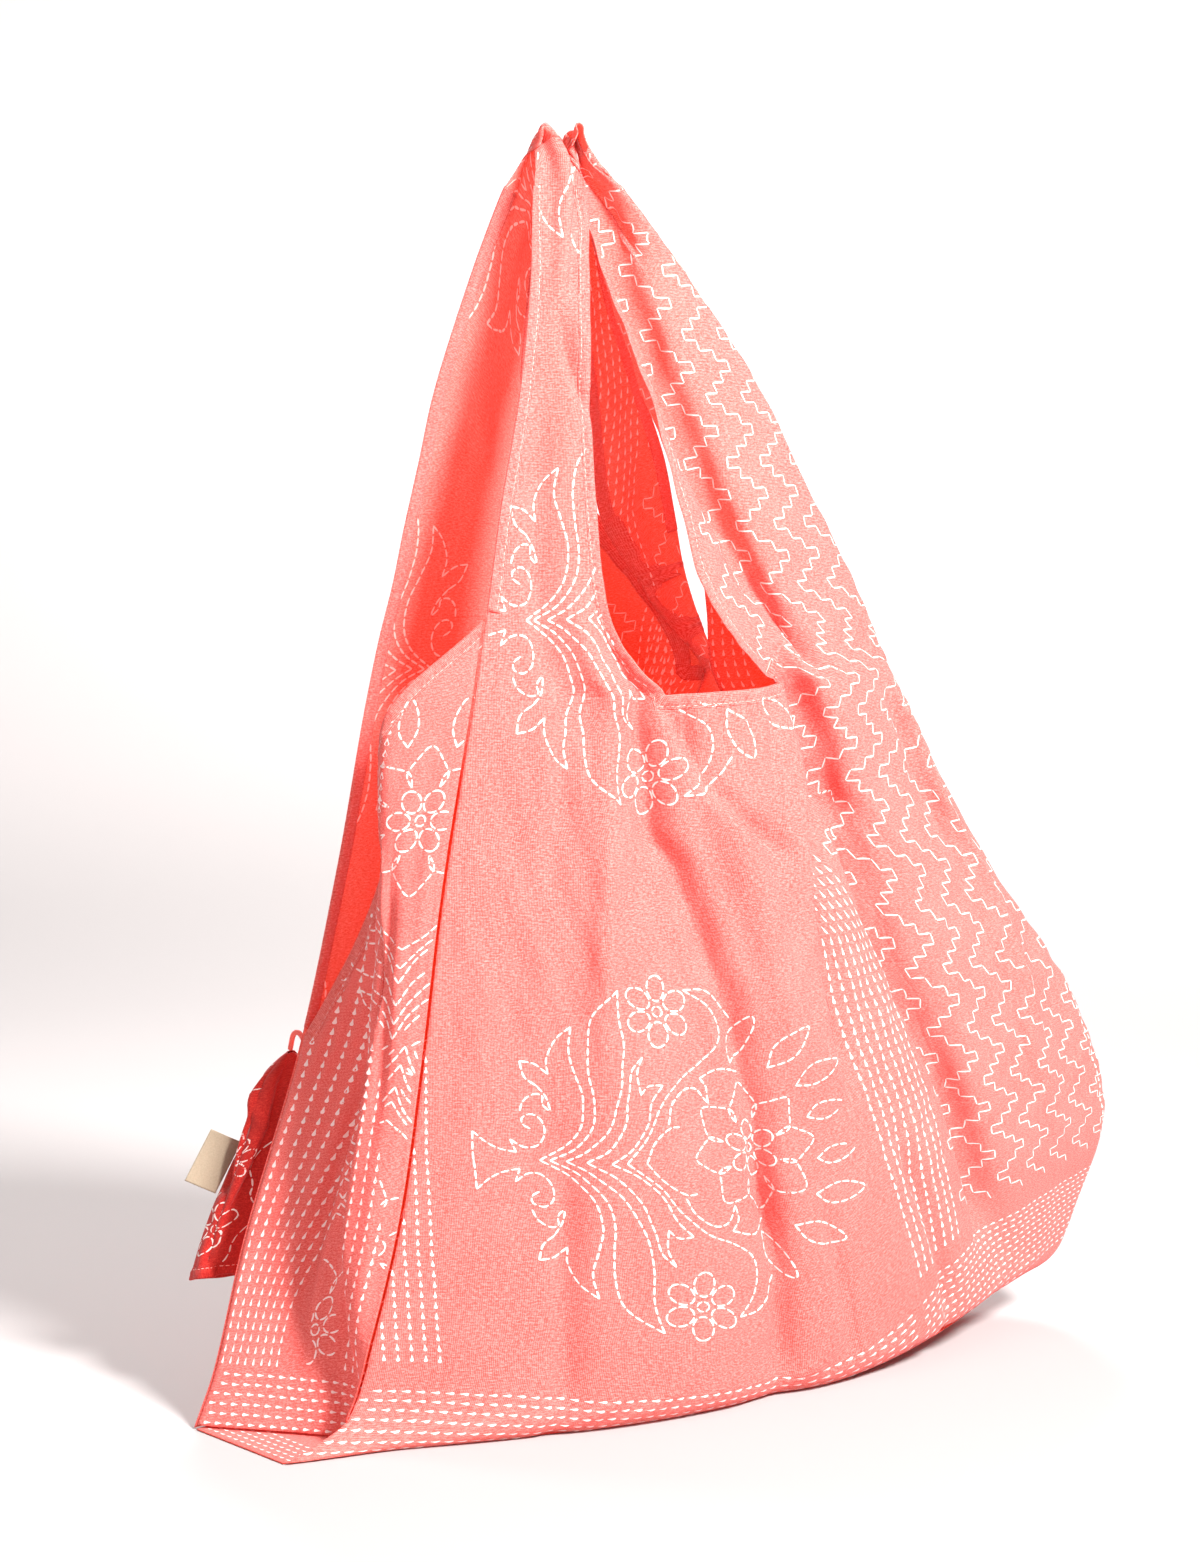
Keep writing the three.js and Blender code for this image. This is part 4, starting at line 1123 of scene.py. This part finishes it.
across, up = np.meshgrid(np.linspace(0, 1, 21), np.linspace(0, 1, 33))
(short, shortTurn), (long, longTurn) = labelAt["short"], labelAt["long"]
shortWay, longWay = heading(math.radians(shortTurn)), heading(math.radians(longTurn))
cornerX, cornerY, cornerZ = labelAt["corner"]
labelGrid = np.stack([cornerX + short * across * shortWay[0] + long * (1 - up) * longWay[0],
                      cornerY - labelAt["bow"] * np.sin(np.pi * across),
                      cornerZ + short * across * shortWay[1] + long * (1 - up) * longWay[1]], -1)
labelSheet = {"grid": labelGrid, "normals": normalsOf(labelGrid, 1), "keep": allKept(labelGrid),
              "cloth": straightCloth(labelGrid)}
label = clothSheet("pouch_label_tape", labelSheet, labelLook["thick"], labelMaterial)
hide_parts("pouch_label")


# The tie is a sewn tube of the same cloth, along a curve from the bag's corner to the pouch.
tieLook = {"radius": 1.5, "around": 10, "stations": 25}
tieKnots = ((23.7, 107.3, 203), (23, 112.5, 206), (22.2, 118.5, 204), (22, 123, 195.2))
route = through((0, 1, 2, 3), tieKnots, np.linspace(0, 3, tieLook["stations"]))
ahead = unit(np.gradient(route, axis=0))
side = unit(np.cross(ahead, (1.0, 0.2, 0.1)))
turn = 2 * math.pi * np.arange(tieLook["around"])[:, None] / tieLook["around"]
ringWay = np.cos(turn) * side[:, None] + np.sin(turn) * np.cross(ahead, side)[:, None]
tiePoints = (route[:, None] + tieLook["radius"] * ringWay).reshape(-1, 3)
tie = bagPiece("pouch_tie_loop", tiePoints, tubeFaces(tieLook["around"], len(route)), crepeCloth)
tie.data.uv_layers.new(name="clothMm")
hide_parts("pouch_tie")
print("label and tie made")

# ---- floor, backdrop and light
sweepProfile = ((-3.5, 0), (-1.5, 0), (1.2, 0), (1.6, 0.02), (1.95, 0.1), (2.25, 0.3), (2.45, 0.6),
                (2.55, 1.0), (2.6, 4.0))
sweepHalf, belowBag = 5, 0.0004
sweepMaterial, sweepTree = newMaterial("paperSweep")
closeMaterial(sweepTree, {"Base Color": toLinear("#A9A4A3"), "Roughness": 0.9, "Specular IOR Level": 0.1})
sweepPoints = [(x, y, z) for y, z in sweepProfile for x in (-sweepHalf, sweepHalf)]
sweepFaces = [(2 * k, 2 * k + 1, 2 * k + 3, 2 * k + 2) for k in range(len(sweepProfile) - 1)]
sweep = meshObject("studio_floor", sweepPoints, sweepFaces, sweepMaterial)
sweep.location.z = -belowBag


def spot(wide):
    return {"spot_size": math.radians(wide), "spot_blend": 1.0, "shadow_soft_size": 0.5}


# Each with its kind, its place, the point it aims at, its power and its own settings.
lights = (
    ("keySoftbox", "AREA", (0.6, -2.3, 2.3), (0, 0, 0.4), 300, {"shape": "DISK", "size": 0.7}),
    ("leftSoftbox", "AREA", (-1.9, -2.4, 1.3), (0, 0, 0.35), 22, {"shape": "DISK", "size": 1.0}),
    ("backSpot", "SPOT", (0.9, 2.0, 1.7), (0, 0, 0.35), 400, spot(62)),
    ("backdropSpot", "SPOT", (2.2, 0.6, 2.0), (1.6, 2.3, 0.2), 620, spot(100)),
    ("floorSpot", "SPOT", (-1.6, 1.9, 2.2), (-1.0, 0.85, 0), 260, spot(52)),
)
for name, kind, place, aim, power, settings in lights:
    light = bpy.data.lights.new(name, kind)
    for key, value in {"energy": power, **settings}.items():
        setattr(light, key, value)
    addObject(name, light, place, aim)
world = bpy.data.worlds.new("studioAir")
world.use_nodes = True
air = world.node_tree.nodes["Background"].inputs
air[0].default_value, air[1].default_value = (1.0, 0.985, 0.98, 1), 0.4
bpy.context.scene.world = world
print("stage and light set")
